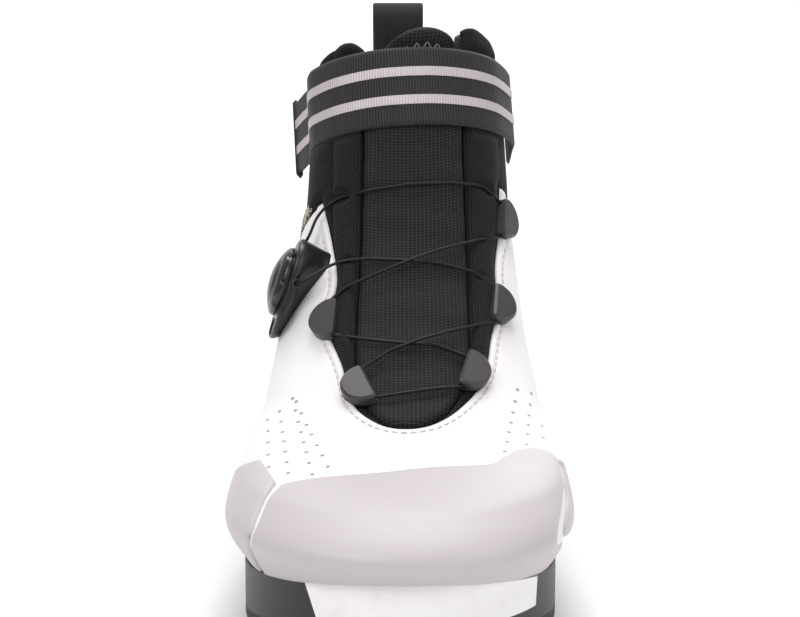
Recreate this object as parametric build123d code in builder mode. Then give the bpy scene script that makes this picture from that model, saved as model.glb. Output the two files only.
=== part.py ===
"""Cross country ski boot, right foot, in millimetres.

+X is the medial (big toe) side, -Y the toe and +Z up. The origin lies on the ground plane under the arch,
TOE_TO_ORIGIN behind the toe tip, so a station s measured back from the toe tip is at y = s - TOE_TO_ORIGIN.
"""

import os
from math import acos, cos, hypot, radians, sin, sqrt

from build123d import *

os.makedirs("parts", exist_ok=True)

# ---------------------------------------------------------------- driving dimensions
TOE_TO_ORIGIN = 150.0  # station of the origin
SIDE_REACH = 90.0  # half width of the cutting solids, beyond any part of the boot
TOP_REACH = 260.0  # height of the cutting solids

# Levels of the outer skin: height, then stations of the front, the widest place and the heel, then the
# lateral, medial and heel half widths, then how square the front and the back of the outline are.
LEVELS = (
    (18, 14, 84, 290, 47, 45, 29, 2.5, 7),
    (26, 5, 84, 295, 52.5, 50, 33, 2.6, 7),
    (36, 0, 82, 298, 57, 54, 36, 2.7, 7),
    (46, 13, 90, 298.5, 54.5, 52.5, 37, 2.6, 7),
    (53, 44, 102, 298, 52, 50.5, 37.5, 2.3, 6.5),
    (60, 77, 118, 297, 49.5, 48.5, 38, 2.1, 6),
    (67, 91, 126, 295.5, 48.5, 47.5, 38, 2.0, 5.5),
    (76, 102, 136, 293.5, 47, 46, 38, 2.0, 5),
    (95, 122, 155, 289, 43.5, 44, 37.5, 2.0, 4),
    (120, 142, 176, 285.5, 39, 42, 36, 2.0, 3.2),
    (145, 154, 187, 284, 36.5, 40.5, 34, 2.0, 2.8),
    (170, 163, 197, 285, 35, 38, 33, 2.0, 2.6),
    (198, 173, 207, 288, 31.5, 35, 31, 2.0, 2.6),
)
LOFT_HEIGHTS = (18, 22, 26, 31, 36, 41, 46, 50, 54, 60, 68, 80, 100, 125, 150, 175, 198)
FRONT_SHARES = (0.15, 0.36, 0.56, 0.73, 0.87, 0.965)  # places along the front half of an outline
BACK_SHARES = (0.985, 0.93, 0.83, 0.68, 0.5, 0.32, 0.15)  # and along its back half

# Depths below the outer skin at which the layers of the boot start and end.
UPPER_IN = 1.8
LINING_OUT, LINING_IN = 2.0, 3.4  # ankle cuff, toe puff and heel stiffener
BOOTIE_OUT, BOOTIE_IN = 3.6, 6.6
TONGUE_OUT = 0.9
FILM_IN, FILM_OUT = -0.1, -1.3  # rands stand out from the skin
GAP = 0.3  # between neighbouring soft pieces

# Sole
BOARD_T = 2.0
INSOLE_T = 4.0
SOLE_INSET = 0.8
TREAD_T = 3.5
TOE_SPRING = 15.0
BALL_Y, HEEL_Y = -50.0, 125.0  # where the toe and heel arcs of the ground line start

# Binding interface
BAR_R = 2.0
BAR_SPAN = 21.0  # free length of the toe bar
BAR_END_R, BAR_END_LENGTH = 1.7, 4.0
BAR_Y, BAR_Z = -134.0, 15.6
GROOVE_X, GROOVE_W, GROOVE_H = 11.0, 8.0, 6.0
GROOVE_FROM, GROOVE_TO = -120.0, 22.0

# Lace and its guides
LACE_R = 0.55
GUIDE_R, GUIDE_T = 8.2, 4.4
GUIDE_SHIFT, GUIDE_FLAT = 2.0, 3.8  # centre of the round side and the straight side, towards the throat
LACE_LIFT = 2.3  # lace centre above the skin inside a guide

# Dial
KNOB_R = 13.0
DIAL_AXIS = (-0.94, -0.12, 0.32)
DIAL_UP = (0.30, 0.18, 0.93)

# Strap
STRAP_W, STRAP_T = 30.5, 1.7
STRAP_CLEAR = 1.2
STRAP_LEAN = 0.296  # fall of the strap's plane per millimetre to the back
STRAP_ROLL = 0.063  # rise of the strap's plane per millimetre to the medial side

# Pull loop
LOOP_W = 23.0


# ---------------------------------------------------------------- the outer skin
def slopes(xs, ys):
    """Slopes at the points of a curve that never overshoots them."""
    steps = [(ys[i + 1] - ys[i]) / (xs[i + 1] - xs[i]) for i in range(len(xs) - 1)]
    inner = [0 if a * b <= 0 else 2 * a * b / (a + b) for a, b in zip(steps, steps[1:])]
    return [steps[0], *inner, steps[-1]]


HEIGHTS = [row[0] for row in LEVELS]
COLUMNS = [[row[k] for row in LEVELS] for k in range(1, 9)]
SLOPES = [slopes(HEIGHTS, column) for column in COLUMNS]


def level(z):
    """The eight measures of the outline at height z."""
    i = max(k for k in range(len(HEIGHTS) - 1) if HEIGHTS[k] <= max(z, HEIGHTS[0]))
    h = HEIGHTS[i + 1] - HEIGHTS[i]
    t = (z - HEIGHTS[i]) / h
    start, leave = 2 * t**3 - 3 * t**2 + 1, (t**3 - 2 * t**2 + t) * h
    end, arrive = 3 * t**2 - 2 * t**3, (t**3 - t**2) * h
    return [
        start * c[i] + leave * m[i] + end * c[i + 1] + arrive * m[i + 1]
        for c, m in zip(COLUMNS, SLOPES)
    ]


def side_points(z, side):
    """Half an outline at height z, from heel to toe, without its two end points."""
    front, widest, heel, lateral, medial, heel_w, front_n, back_n = level(z)
    w = medial if side > 0 else lateral
    points = []
    for a in BACK_SHARES:
        blend = a * a * (3 - 2 * a)
        half_width = (w + (heel_w - w) * blend) * sqrt(1 - a**back_n)
        points.append((side * half_width, widest + a * (heel - widest)))
    points.append((side * w, widest))
    points += [(side * w * sqrt(1 - a**front_n), widest - a * (widest - front)) for a in FRONT_SHARES]
    return points


def outline(z, inset=0.0):
    """Closed outline of the skin at height z, moved inwards by inset."""
    front, _, heel = level(z)[:3]
    points = [(0.0, heel), *side_points(z, -1), (0.0, front), *side_points(z, 1)[::-1]]
    moved = []
    for i, (x, s) in enumerate(points):
        (x0, s0), (x1, s1) = points[i - 1], points[(i + 1) % len(points)]
        run = hypot(x1 - x0, s1 - s0)
        moved.append((x - (s1 - s0) / run * inset, s + (x1 - x0) / run * inset - TOE_TO_ORIGIN))
    return moved


made_forms = {}


def form(depth):
    """The whole boot's volume inside a surface that lies depth below the outer skin."""
    if depth not in made_forms:
        with BuildPart() as body:
            for z in LOFT_HEIGHTS:
                with BuildSketch(Plane.XY.offset(z - depth)):
                    with BuildLine():
                        Spline(*outline(z, depth), periodic=True)
                    make_face()
            loft()
        made_forms[depth] = body.part
    return made_forms[depth]


def skin_point(z, side, share):
    """Point of the front of the skin at height z, share of the half width from the middle."""
    front, widest, _, lateral, medial, _, front_n, _ = level(z)
    w = medial if side > 0 else lateral
    a = (1 - share * share) ** (1 / front_n)
    return Vector(side * share * w, widest - a * (widest - front) - TOE_TO_ORIGIN, z)


def skin_normal(z, side, share):
    here = skin_point(z, side, share)
    up = skin_point(z + 1, side, share) - here
    along = skin_point(z, side, share + 0.02) - here
    normal = up.cross(along).normalized()
    return normal if normal.Y < 0 or normal.Z > 0.5 else -normal


def above_skin(z, side, share, lift):
    return skin_point(z, side, share) + skin_normal(z, side, share) * lift


# ---------------------------------------------------------------- cutting solids
def feather_line(rise=0.0):
    """Points of the line where the upper meets the sole, heel last, raised by rise."""
    stations = ((-156, 33), (-130, 26.5), (-100, 22), (-55, 19.5), (30, 23.5), (90, 27), (156, 31))
    return [(y, z + rise) for y, z in stations]


def above_feather(rise=0.0):
    """Everything above the feather line."""
    with BuildPart() as body:
        with BuildSketch(Plane.YZ):
            with BuildLine():
                line = Spline(*feather_line(rise))
                Polyline(line @ 1, (156, TOP_REACH), (-156, TOP_REACH), line @ 0)
            make_face()
        extrude(amount=SIDE_REACH, both=True)
    return body.part


def seen_from_side(points, low_x, high_x):
    """Solid between two x planes whose side view is the closed figure of (station, height) points."""
    with BuildPart() as body:
        with BuildSketch(Plane.YZ.offset(low_x)):
            with BuildLine():
                Polyline(*[(s - TOE_TO_ORIGIN, z) for s, z in points], close=True)
            make_face()
        extrude(amount=high_x - low_x)
    return body.part


def seen_from_above(points, low_z=0.0, high_z=TOP_REACH):
    """Solid between two heights whose plan is the closed figure of (x, station) points."""
    with BuildPart() as body:
        with BuildSketch(Plane.XY.offset(low_z)):
            with BuildLine():
                Polyline(*[(x, s - TOE_TO_ORIGIN) for x, s in points], close=True)
            make_face()
        extrude(amount=high_z - low_z)
    return body.part


# The instep is looked at from the front and 40 degrees above, square to its slope.
INSTEP_DOWN = 40.0
INSTEP_VIEW = Plane(
    origin=(0, -TOE_TO_ORIGIN, 0),
    x_dir=(1, 0, 0),
    z_dir=(0, -cos(radians(INSTEP_DOWN)), sin(radians(INSTEP_DOWN))),
)
# Edge of the throat in that view, lateral peak first, round the vamp to the medial peak.
THROAT = (
    (-31.5, 203),
    (-27, 182),
    (-24.5, 163),
    (-27.5, 145),
    (-21.5, 125),
    (-17.5, 108),
    (-9, 97.5),
    (0, 94),
    (10, 97),
    (20, 107),
    (28, 121),
    (31.5, 140),
    (34.5, 156),
    (34.5, 173),
    (36.5, 190),
    (38, 212),
)
# Edge of the tongue in the same view.
TONGUE_LEFT = ((-15.5, 240), (-16, 180), (-17, 135), (-15, 112), (-8, 99.5))
TONGUE_RIGHT = ((0, 96.5), (9, 99), (17, 108), (23, 128), (24, 180), (23, 240))
TONGUE = TONGUE_LEFT + TONGUE_RIGHT
VIEW_NEAR, VIEW_FAR = 40.0, 75.0  # the instep lies this far in front of and behind the view plane


def through_instep(points):
    """Prism square to the instep whose section is open at the top between the first and last points."""
    with BuildPart() as body:
        with BuildSketch(INSTEP_VIEW.offset(VIEW_NEAR)):
            with BuildLine():
                edge = Spline(*points)
                Polyline(edge @ 1, (points[-1][0], 330), (points[0][0], 330), edge @ 0)
            make_face()
        extrude(amount=-VIEW_NEAR - VIEW_FAR)
    return body.part


def widened(points, gap):
    """The same edge with its sides moved apart and its lowest point down by gap."""
    middle = sum(x for x, _ in points) / len(points)
    low = min(v for _, v in points)
    moved = []
    for x, v in points:
        sideways = gap * (1 if x > middle else -1) * min(1, (v - low) / 6)
        downwards = gap * max(0, 1 - (v - low) / 30)
        moved.append((x + sideways, v - downwards))
    return moved


def export(shape, name):
    shape.label = name
    export_step(shape, f"parts/{name}.step")


# ---------------------------------------------------------------- sole
with BuildPart() as sole_volume:
    with BuildSketch():
        with BuildLine():
            Spline(*outline(27, SOLE_INSET), periodic=True)
        make_face()
    extrude(amount=60)
    with BuildSketch(Plane.YZ):
        with BuildLine():
            ground = Line((HEEL_Y, 0), (BALL_Y, 0))
            toe_arc = TangentArc((BALL_Y, 0), (-156, TOE_SPRING + 2.2), tangent=(-1, 0))
            heel_arc = TangentArc((HEEL_Y, 0), (156, 7), tangent=(1, 0))
            feather = Spline(*feather_line())
            Line(toe_arc @ 1, feather @ 0)
            Line(feather @ 1, heel_arc @ 1)
        make_face()
    extrude(amount=SIDE_REACH, both=True, mode=Mode.INTERSECT)

with BuildPart() as tread_layer:
    add(sole_volume.part)
    with BuildSketch(Plane.YZ):
        with BuildLine():
            Line((HEEL_Y, TREAD_T), (BALL_Y, TREAD_T))
            toe_top = TangentArc((BALL_Y, TREAD_T), (-156, TOE_SPRING + 2.2 + TREAD_T), tangent=(-1, 0))
            heel_top = TangentArc((HEEL_Y, TREAD_T), (156, 7 + TREAD_T), tangent=(1, 0))
            Polyline(toe_top @ 1, (-156, -5), (156, -5), heel_top @ 1)
        make_face()
    extrude(amount=SIDE_REACH, both=True, mode=Mode.INTERSECT)

# Plan figures (x, station) of the two rubber treads and of the toe recess.
FOREFOOT_PLAN = ((-60, 34), (60, 34), (60, 150), (0, 168), (-60, 150))
HEEL_PLAN = ((-60, 206), (0, 192), (60, 206), (60, 310), (-60, 310))
RECESS_HALF_W, RECESS_FROM, RECESS_TO, RECESS_TOP = 15.5, -142.5, -123.5, 21.5
SHANK_HALF_W, SHANK_FROM, SHANK_TO, SHANK_T = 13.0, 5.0, 100.0, 1.4
TREAD_RIB_PITCH, TREAD_RIB_DEPTH, TREAD_RIB_W = 11.0, 1.8, 2.4

with BuildPart() as guide_grooves:
    with Locations((0, (GROOVE_FROM + GROOVE_TO) / 2, 0)):
        with GridLocations(2 * GROOVE_X, 1, 2, 1):
            Box(GROOVE_W, GROOVE_TO - GROOVE_FROM, 2 * GROOVE_H)

with BuildPart() as toe_recess:
    with Locations((0, (RECESS_FROM + RECESS_TO) / 2, RECESS_TOP / 2)):
        Box(2 * RECESS_HALF_W, RECESS_TO - RECESS_FROM, RECESS_TOP)

with BuildPart() as shank_pocket:
    add(above_feather(-SHANK_T - 0.1))
    with Locations((0, (SHANK_FROM + SHANK_TO) / 2, 30)):
        Box(2 * SHANK_HALF_W + 0.2, SHANK_TO - SHANK_FROM + 0.2, 80, mode=Mode.INTERSECT)

with BuildPart() as sole_chassis:
    add(sole_volume.part)
    add(tread_layer.part & seen_from_above(FOREFOOT_PLAN, -5, 60), mode=Mode.SUBTRACT)
    add(tread_layer.part & seen_from_above(HEEL_PLAN, -5, 60), mode=Mode.SUBTRACT)
    add(guide_grooves.part, mode=Mode.SUBTRACT)
    add(toe_recess.part, mode=Mode.SUBTRACT)
    add(shank_pocket.part, mode=Mode.SUBTRACT)
export(sole_chassis.part, "sole_chassis")

with BuildPart() as shank:
    add(above_feather(-SHANK_T))
    add(above_feather(-0.1), mode=Mode.SUBTRACT)
    with Locations((0, (SHANK_FROM + SHANK_TO) / 2, 30)):
        Box(2 * SHANK_HALF_W, SHANK_TO - SHANK_FROM, 80, mode=Mode.INTERSECT)
export(shank.part, "shank")


def tread(plan, rib_from, rib_count):
    """One rubber tread with cross ribs cut into its ground face."""
    with BuildPart() as body:
        add(tread_layer.part)
        add(seen_from_above(plan, -5, 60), mode=Mode.INTERSECT)
        add(guide_grooves.part, mode=Mode.SUBTRACT)
        with Locations((0, rib_from + TREAD_RIB_PITCH * (rib_count - 1) / 2, 0)):
            with GridLocations(1, TREAD_RIB_PITCH, 1, rib_count):
                for side in (-1, 1):
                    with Locations(Location((side * 34, 0, 0), (0, 0, side * 12))):
                        Box(38, TREAD_RIB_W, 2 * TREAD_RIB_DEPTH, mode=Mode.SUBTRACT)
    return body.part


export(tread(FOREFOOT_PLAN, -68, 7), "forefoot_tread")
export(tread(HEEL_PLAN, 68, 6), "heel_tread")

# Toe binding: a U bracket with two cheeks in the recess carries the bar.
CHEEK_T, BRACKET_T, BRACKET_L = 4.4, 2.0, 16.0
with BuildPart() as bar_bracket:
    with Locations((0, BAR_Y + 0.5, RECESS_TOP - 0.1)):
        Box(2 * (RECESS_HALF_W - 0.1), BRACKET_L, BRACKET_T, align=(Align.CENTER, Align.CENTER, Align.MAX))
    for side in (-1, 1):
        with Locations((side * (BAR_SPAN / 2 + CHEEK_T / 2 + 0.02), BAR_Y + 0.5, RECESS_TOP - 0.1)):
            Box(CHEEK_T, BRACKET_L, RECESS_TOP - BAR_Z + 3.2, align=(Align.CENTER, Align.CENTER, Align.MAX))
    with Locations(Plane.YZ):
        with Locations((BAR_Y, BAR_Z, 0)):
            Cylinder(BAR_END_R + 0.02, BAR_SPAN + 2 * BAR_END_LENGTH, mode=Mode.SUBTRACT)
    with Locations((-7, BAR_Y + 5.5, RECESS_TOP - 2.1), (7, BAR_Y + 5.5, RECESS_TOP - 2.1)):
        Cylinder(1.6, 10, mode=Mode.SUBTRACT)
export(bar_bracket.part, "bar_bracket")

with BuildPart() as toe_bar:
    with Locations(Location((0, BAR_Y, BAR_Z), (0, 90, 0))):
        Cylinder(BAR_R, BAR_SPAN)
        Cylinder(BAR_END_R, BAR_SPAN + 2 * BAR_END_LENGTH - 0.4)
export(toe_bar.part, "toe_bar")

with BuildPart() as bracket_screws:
    with Locations((-7, BAR_Y + 5.5, RECESS_TOP - 2.15), (7, BAR_Y + 5.5, RECESS_TOP - 2.15)):
        Cylinder(2.6, 1.4, align=(Align.CENTER, Align.CENTER, Align.MAX))
        Cylinder(1.5, 2.0, align=(Align.CENTER, Align.CENTER, Align.MIN))
        with Locations((0, 0, -1.4)):
            Box(1.4, 1.4, 1.6, mode=Mode.SUBTRACT)
export(bracket_screws.part, "bracket_screws")

# White bumper wrapped round the front of the sole.
BUMPER_T = 1.8
with BuildPart() as toe_bumper:
    with BuildSketch():
        with BuildLine():
            Spline(*outline(27, SOLE_INSET - BUMPER_T), periodic=True)
        make_face()
        with BuildLine():
            Spline(*outline(27, SOLE_INSET - 0.05), periodic=True)
        make_face(mode=Mode.SUBTRACT)
    extrude(amount=40)
    add(above_feather(-0.1), mode=Mode.SUBTRACT)
    with BuildSketch(Plane.XZ.offset(TOE_TO_ORIGIN + 20)):
        with BuildLine():
            Polyline((-31, 34), (40, 34), (39, 16.5), (-25, 16.5), close=True)
        make_face()
    extrude(amount=-60, mode=Mode.INTERSECT)
export(toe_bumper.part, "toe_bumper")

# ---------------------------------------------------------------- inside the boot
with BuildPart() as lasting_board:
    add(form(LINING_OUT))
    add(above_feather(0), mode=Mode.INTERSECT)
    add(above_feather(BOARD_T), mode=Mode.SUBTRACT)
export(lasting_board.part, "lasting_board")

with BuildPart() as insole:
    add(form(BOOTIE_IN + 0.2))
    add(above_feather(BOARD_T + 0.1), mode=Mode.INTERSECT)
    add(above_feather(BOARD_T + INSOLE_T), mode=Mode.SUBTRACT)
export(insole.part, "insole")


def layer(outer, inner):
    """Hollow skin between two depths, open at the top."""
    with BuildPart() as body:
        add(form(outer))
        add(form(inner), mode=Mode.SUBTRACT)
        extrude(form(inner).faces().sort_by(Axis.Z)[-1], amount=inner - outer + 1, mode=Mode.SUBTRACT)
    return body.part


lining = layer(LINING_OUT, LINING_IN) & above_feather(BOARD_T + 0.1)

with BuildPart() as toe_puff:
    add(lining)
    add(seen_from_above(((-70, -10), (70, -10), (70, 26), (0, 38), (-70, 26))), mode=Mode.INTERSECT)
export(toe_puff.part, "toe_puff")

HEEL_STIFFENER = ((236, 10), (232, 40), (252, 74), (275, 84), (310, 84), (310, 10))
with BuildPart() as heel_stiffener:
    add(lining)
    add(seen_from_side(HEEL_STIFFENER, -SIDE_REACH, SIDE_REACH), mode=Mode.INTERSECT)
export(heel_stiffener.part, "heel_stiffener")

# Top edge of the boot: seen from the front it has a lobe on each side of the tongue, and behind them it is
# low at the ankle and high at the heel.
LOBES = (
    (-60, 172),
    (-38, 175),
    (-30, 182),
    (-21, 189),
    (-13, 182),
    (-6, 174),
    (14, 176),
    (19, 187),
    (26, 195.5),
    (33, 190),
    (40, 180),
    (60, 176),
)
LOBES_BACK_Y = 50.0
COLLAR_BACK = ((180, 176), (206, 177), (235, 177), (262, 183), (285, 190), (305, 192))


def above_collar(drop=0.0):
    """The two solids above the top edge of the boot, in front and behind, lowered by drop."""
    with BuildPart() as front:
        with BuildSketch(Plane.XZ.offset(-LOBES_BACK_Y)):
            with BuildLine():
                edge = Spline(*[(x, z - drop) for x, z in LOBES])
                Polyline(edge @ 1, (60, TOP_REACH), (-60, TOP_REACH), edge @ 0)
            make_face()
        extrude(amount=220)
    with BuildPart() as back:
        with BuildSketch(Plane.YZ):
            with BuildLine():
                edge = Spline(*[(s - TOE_TO_ORIGIN, z - drop) for s, z in COLLAR_BACK])
                Polyline(edge @ 1, (155, TOP_REACH), (30, TOP_REACH), edge @ 0)
            make_face()
        extrude(amount=SIDE_REACH, both=True)
        with Locations((0, LOBES_BACK_Y, 0)):
            Box(400, 400, 600, align=(Align.CENTER, Align.MIN, Align.CENTER), mode=Mode.INTERSECT)
    return [front.part, back.part]


tongue_prism = through_instep(TONGUE)
tongue_slot = through_instep(widened(TONGUE, GAP))

TUCK_LINE = ((64, 53), (110, 62), (150, 78), (205, 82), (240, 86), (262, 92), (310, 92))
CUFF_TUCK = (*TUCK_LINE, (310, 260), (64, 260))
with BuildPart() as ankle_cuff:
    add(layer(LINING_OUT, LINING_IN))
    add(seen_from_side(CUFF_TUCK, -SIDE_REACH, SIDE_REACH), mode=Mode.INTERSECT)
    add(tongue_slot, mode=Mode.SUBTRACT)
    add(above_collar(), mode=Mode.SUBTRACT)
export(ankle_cuff.part, "ankle_cuff")

with BuildPart() as bootie:
    add(layer(BOOTIE_OUT, BOOTIE_IN))
    add(above_feather(BOARD_T + 0.1), mode=Mode.INTERSECT)
    add(tongue_slot, mode=Mode.SUBTRACT)
    add(above_collar(1.0), mode=Mode.SUBTRACT)
export(bootie.part, "bootie")

# Padded band round the top of the cuff.
BAND_OUT, BAND_IN = 0.9, 1.8
BAND_BOTTOM_Z = 150.0
with BuildPart() as collar_band:
    add(layer(BAND_OUT, BAND_IN))
    with Locations((0, 0, BAND_BOTTOM_Z)):
        Box(400, 400, 200, align=(Align.CENTER, Align.CENTER, Align.MIN), mode=Mode.INTERSECT)
    add(tongue_slot, mode=Mode.SUBTRACT)
    add(above_collar(-0.6), mode=Mode.SUBTRACT)
export(collar_band.part, "collar_band")

TONGUE_TOP = 194.5
with BuildPart() as tongue:
    add(layer(TONGUE_OUT, BOOTIE_IN))
    add(tongue_prism, mode=Mode.INTERSECT)
    with BuildSketch(Plane.XZ.offset(TOE_TO_ORIGIN)):
        with BuildLine():
            top = Spline((-20, 176), (-9, 183), (6, TONGUE_TOP), (16, 192), (28, 178))
            Polyline(top @ 1, (28, 0), (-20, 0), top @ 0)
        make_face()
    extrude(amount=-TOE_TO_ORIGIN - 60, mode=Mode.INTERSECT)
export(tongue.part, "tongue")

# ---------------------------------------------------------------- dial on the lateral side
DIAL_Z, DIAL_SHARE = 98.0, 0.874
dial_normal = Vector(*DIAL_AXIS).normalized()
dial_up = Vector(*DIAL_UP)
DIAL = Plane(origin=skin_point(DIAL_Z, -1, DIAL_SHARE), x_dir=dial_up.cross(dial_normal), z_dir=dial_normal)

# Heights above the skin along the dial's axis.
BASE_TOP = 6.4
CHAMBER_R, CHAMBER_FLOOR = 10.6, 2.0
SPOOL_R, SPOOL_CORE_R, SPOOL_FLANGE = 10.2, 6.5, 0.8
SPOOL_FROM, SPOOL_TOP, HUB_R, HUB_TOP = 2.2, 6.4, 8.0, 7.4
RING_R, RING_TOP = 11.6, 7.6
DRIVE_R, DRIVE_TOP = 3.6, 9.6
PIVOT_R, SCREW_HEAD_R, SCREW_HEAD_T = 1.5, 2.8, 1.2
KNOB_HOLLOW_R, KNOB_FROM, KNOB_FLOOR, KNOB_TOP = 11.9, 6.9, 8.0, 13.6
KNOB_BORE_R, KNOB_CEILING = 4.0, 12.0
CAP_R, CAP_T = 8.6, 1.3
BASE_W, BASE_L, BASE_DROP = 28.0, 38.5, 2.2
GRIP_COUNT, GRIP_R = 20, 0.9
CLIP_Y = -17.0


def disc(radius, low, high, mode=Mode.ADD):
    """Cylinder about the dial's axis between two heights."""
    with Locations(DIAL.offset(low)):
        Cylinder(radius, high - low, align=(Align.CENTER, Align.CENTER, Align.MIN), mode=mode)


# ---------------------------------------------------------------- upper
# Top line of the quarters seen from the side: high at the two peaks, low under the ankle, up to the heel.
LATERAL_TOP = (
    (60, 240),
    (140, 165),
    (156, 134),
    (161, 128.5),
    (166, 121.5),
    (174, 112),
    (186, 104.5),
    (203, 100),
    (232, 98),
    (258, 106),
    (280, 121),
    (310, 128),
)
MEDIAL_TOP = (
    (60, 240),
    (146, 165),
    (160, 139),
    (166, 134.5),
    (172, 132),
    (184, 118),
    (203, 104),
    (232, 98),
    (258, 106),
    (280, 121),
    (310, 128),
)


def above_quarter(top_line, low_x, high_x):
    """Everything over one quarter's top line between two x planes."""
    with BuildPart() as body:
        with BuildSketch(Plane.YZ.offset(low_x)):
            with BuildLine():
                edge = Spline(*[(s - TOE_TO_ORIGIN, z) for s, z in top_line])
                Polyline(edge @ 1, (160, TOP_REACH), (-90, TOP_REACH), edge @ 0)
            make_face()
        extrude(amount=high_x - low_x)
    return body.part


with BuildPart() as upper_shell:
    add(layer(0, UPPER_IN))
    add(above_feather(0), mode=Mode.INTERSECT)
    add(through_instep(THROAT), mode=Mode.SUBTRACT)
    add(above_quarter(LATERAL_TOP, -SIDE_REACH, 0), mode=Mode.SUBTRACT)
    add(above_quarter(MEDIAL_TOP, 0, SIDE_REACH), mode=Mode.SUBTRACT)
    disc(CHAMBER_R, CHAMBER_FLOOR, BASE_TOP, Mode.SUBTRACT)
    disc(PIVOT_R + 0.1, 0, BASE_TOP, Mode.SUBTRACT)
    upper_pieces = solids().sort_by(SortBy.VOLUME)
export(upper_pieces[-1], "upper_shell")

film = layer(FILM_OUT, FILM_IN) & above_feather(0)

# Plan figures (x, station) of the light grey rands, with a one millimetre channel between neighbours.
CAP_EDGE = (
    (-37.5, 40.5),
    (-30, 41),
    (-10, 41.5),
    (5, 44.5),
    (25, 50),
    (31, 57),
    (38, 67),
    (46, 72),
    (50, 70),
)
CAP_MEDIAL = ((50, 70), (50, 55), (48, 42), (45, 28), (58, 12))
CAP_LATERAL = ((-56, 12), (-43.5, 26), (-41, 34), (-37.5, 40.5))
CAP_SIDES = (*CAP_MEDIAL, (58, -20), (-56, -20), *CAP_LATERAL)
with BuildPart() as toe_cap:
    with BuildSketch():
        with BuildLine():
            Spline(*[(x, s - TOE_TO_ORIGIN) for x, s in CAP_EDGE])
            Polyline(*[(x, s - TOE_TO_ORIGIN) for x, s in CAP_SIDES])
        make_face()
    extrude(amount=120)
    add(film, mode=Mode.INTERSECT)
export(toe_cap.part, "toe_cap")

LATERAL_FRONT = ((-80, 12), (-57, 13.5), (-44.8, 26.8), (-42.4, 34.8), (-39.2, 42.8))
LATERAL_PLAN = (*LATERAL_FRONT, (-46, 64), (-42, 175), (-80, 175))
LATERAL_TOP_LINE = ((-10, 70), (63, 70), (64, 51.5), (75, 46.5), (95, 41.5), (125, 36), (168, 26))
LATERAL_SIDE = (*LATERAL_TOP_LINE, (168, 0), (-10, 0))
with BuildPart() as lateral_rand:
    add(film)
    add(seen_from_above(LATERAL_PLAN), mode=Mode.INTERSECT)
    add(seen_from_side(LATERAL_SIDE, -SIDE_REACH, 0), mode=Mode.INTERSECT)
export(lateral_rand.part, "lateral_rand")

MEDIAL_FRONT = ((51.2, 71), (51.2, 55), (49.2, 42), (46.2, 28.4), (59, 13))
MEDIAL_PLAN = (*MEDIAL_FRONT, (80, 13), (80, 175), (40, 175), (48, 76))
MEDIAL_SIDE = ((-10, 60), (70, 60), (74, 49), (100, 42), (130, 36), (168, 26), (168, 0), (-10, 0))
with BuildPart() as medial_rand:
    add(film)
    add(seen_from_above(MEDIAL_PLAN), mode=Mode.INTERSECT)
    add(seen_from_side(MEDIAL_SIDE, 0, SIDE_REACH), mode=Mode.INTERSECT)
export(medial_rand.part, "medial_rand")

COUNTER_SIDE = ((238, 0), (230, 26), (236, 44), (262, 66), (284, 84), (310, 88), (310, 0))
with BuildPart() as heel_counter:
    add(film)
    add(seen_from_side(COUNTER_SIDE, -SIDE_REACH, SIDE_REACH), mode=Mode.INTERSECT)
export(heel_counter.part, "heel_counter")

# Woven patch on the cuff behind the lateral peak.
PATCH_SIDE = ((163.6, 126.6), (168.0, 129.0), (182, 113), (176, 110.6))
with BuildPart() as cuff_patch:
    add(layer(1.0, UPPER_IN))
    add(seen_from_side(PATCH_SIDE, -SIDE_REACH, 0), mode=Mode.INTERSECT)
export(cuff_patch.part, "cuff_patch")

# ---------------------------------------------------------------- lace and its guides
def rounded_path(corners):
    """Straight runs between corner points (point, radius), each corner rounded by a tangent arc."""
    with BuildLine() as path:
        here = corners[0][0]
        for (before, _), (corner, radius), (after, _) in zip(corners, corners[1:], corners[2:]):
            back, on = (before - corner).normalized(), (after - corner).normalized()
            half = acos(back.dot(on)) / 2
            reach = radius / (sin(half) / cos(half))
            middle = (back + on).normalized() * (radius / sin(half) - radius)
            Line(here, corner + back * reach)
            ThreePointArc(corner + back * reach, corner + middle, corner + on * reach)
            here = corner + on * reach
        Line(here, corners[-1][0])
    return path.wire()


def over(x, z, lift):
    """Point above the front of the skin at height z, x from the middle."""
    side = 1 if x > 0 else -1
    _, _, _, lateral, medial, *_ = level(z)
    return above_skin(z, side, abs(x) / (medial if side > 0 else lateral), lift)


def guide_plane(z, side, share, edge_direction):
    """Plane at a guide: z out of the skin, x up along the throat's edge, y across that edge."""
    normal = skin_normal(z, side, share)
    along = Vector(*edge_direction)
    along = along - normal * along.dot(normal)
    return Plane(origin=skin_point(z, side, share), x_dir=along, z_dir=normal)


# Height, side (-1 lateral), share of the half width and the direction of the throat's edge at each guide.
GUIDES = {
    "guide_lateral_low": guide_plane(68.2, -1, 0.31, (-0.35, 0.80, 0.50)),
    "guide_lateral_mid": guide_plane(87.7, -1, 0.60, (0.07, 0.73, 0.68)),
    "guide_medial_low": guide_plane(72.3, 1, 0.50, (0.24, 0.80, 0.53)),
    "guide_medial_mid": guide_plane(91.8, 1, 0.77, (0.10, 0.75, 0.65)),
    "guide_medial_top": guide_plane(120.9, 1, 0.90, (0.05, 0.63, 0.77)),
}
TURN_HALF, TURN_R, TURN_DEPTH = 5.4, 4.6, 2.6


def away_from_throat(name):
    """Which way a guide's y axis has to be followed to leave the throat."""
    return 1 if "lateral" in name else -1


def guide_turn(name, downwards):
    """The two corners of the lace's turn inside a guide, taken downwards or upwards."""
    ends = [TURN_HALF, -TURN_HALF] if downwards else [-TURN_HALF, TURN_HALF]
    depth = TURN_DEPTH * away_from_throat(name)
    return [(GUIDES[name].from_local_coords(Vector(t, depth, LACE_LIFT)), TURN_R) for t in ends]


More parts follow.
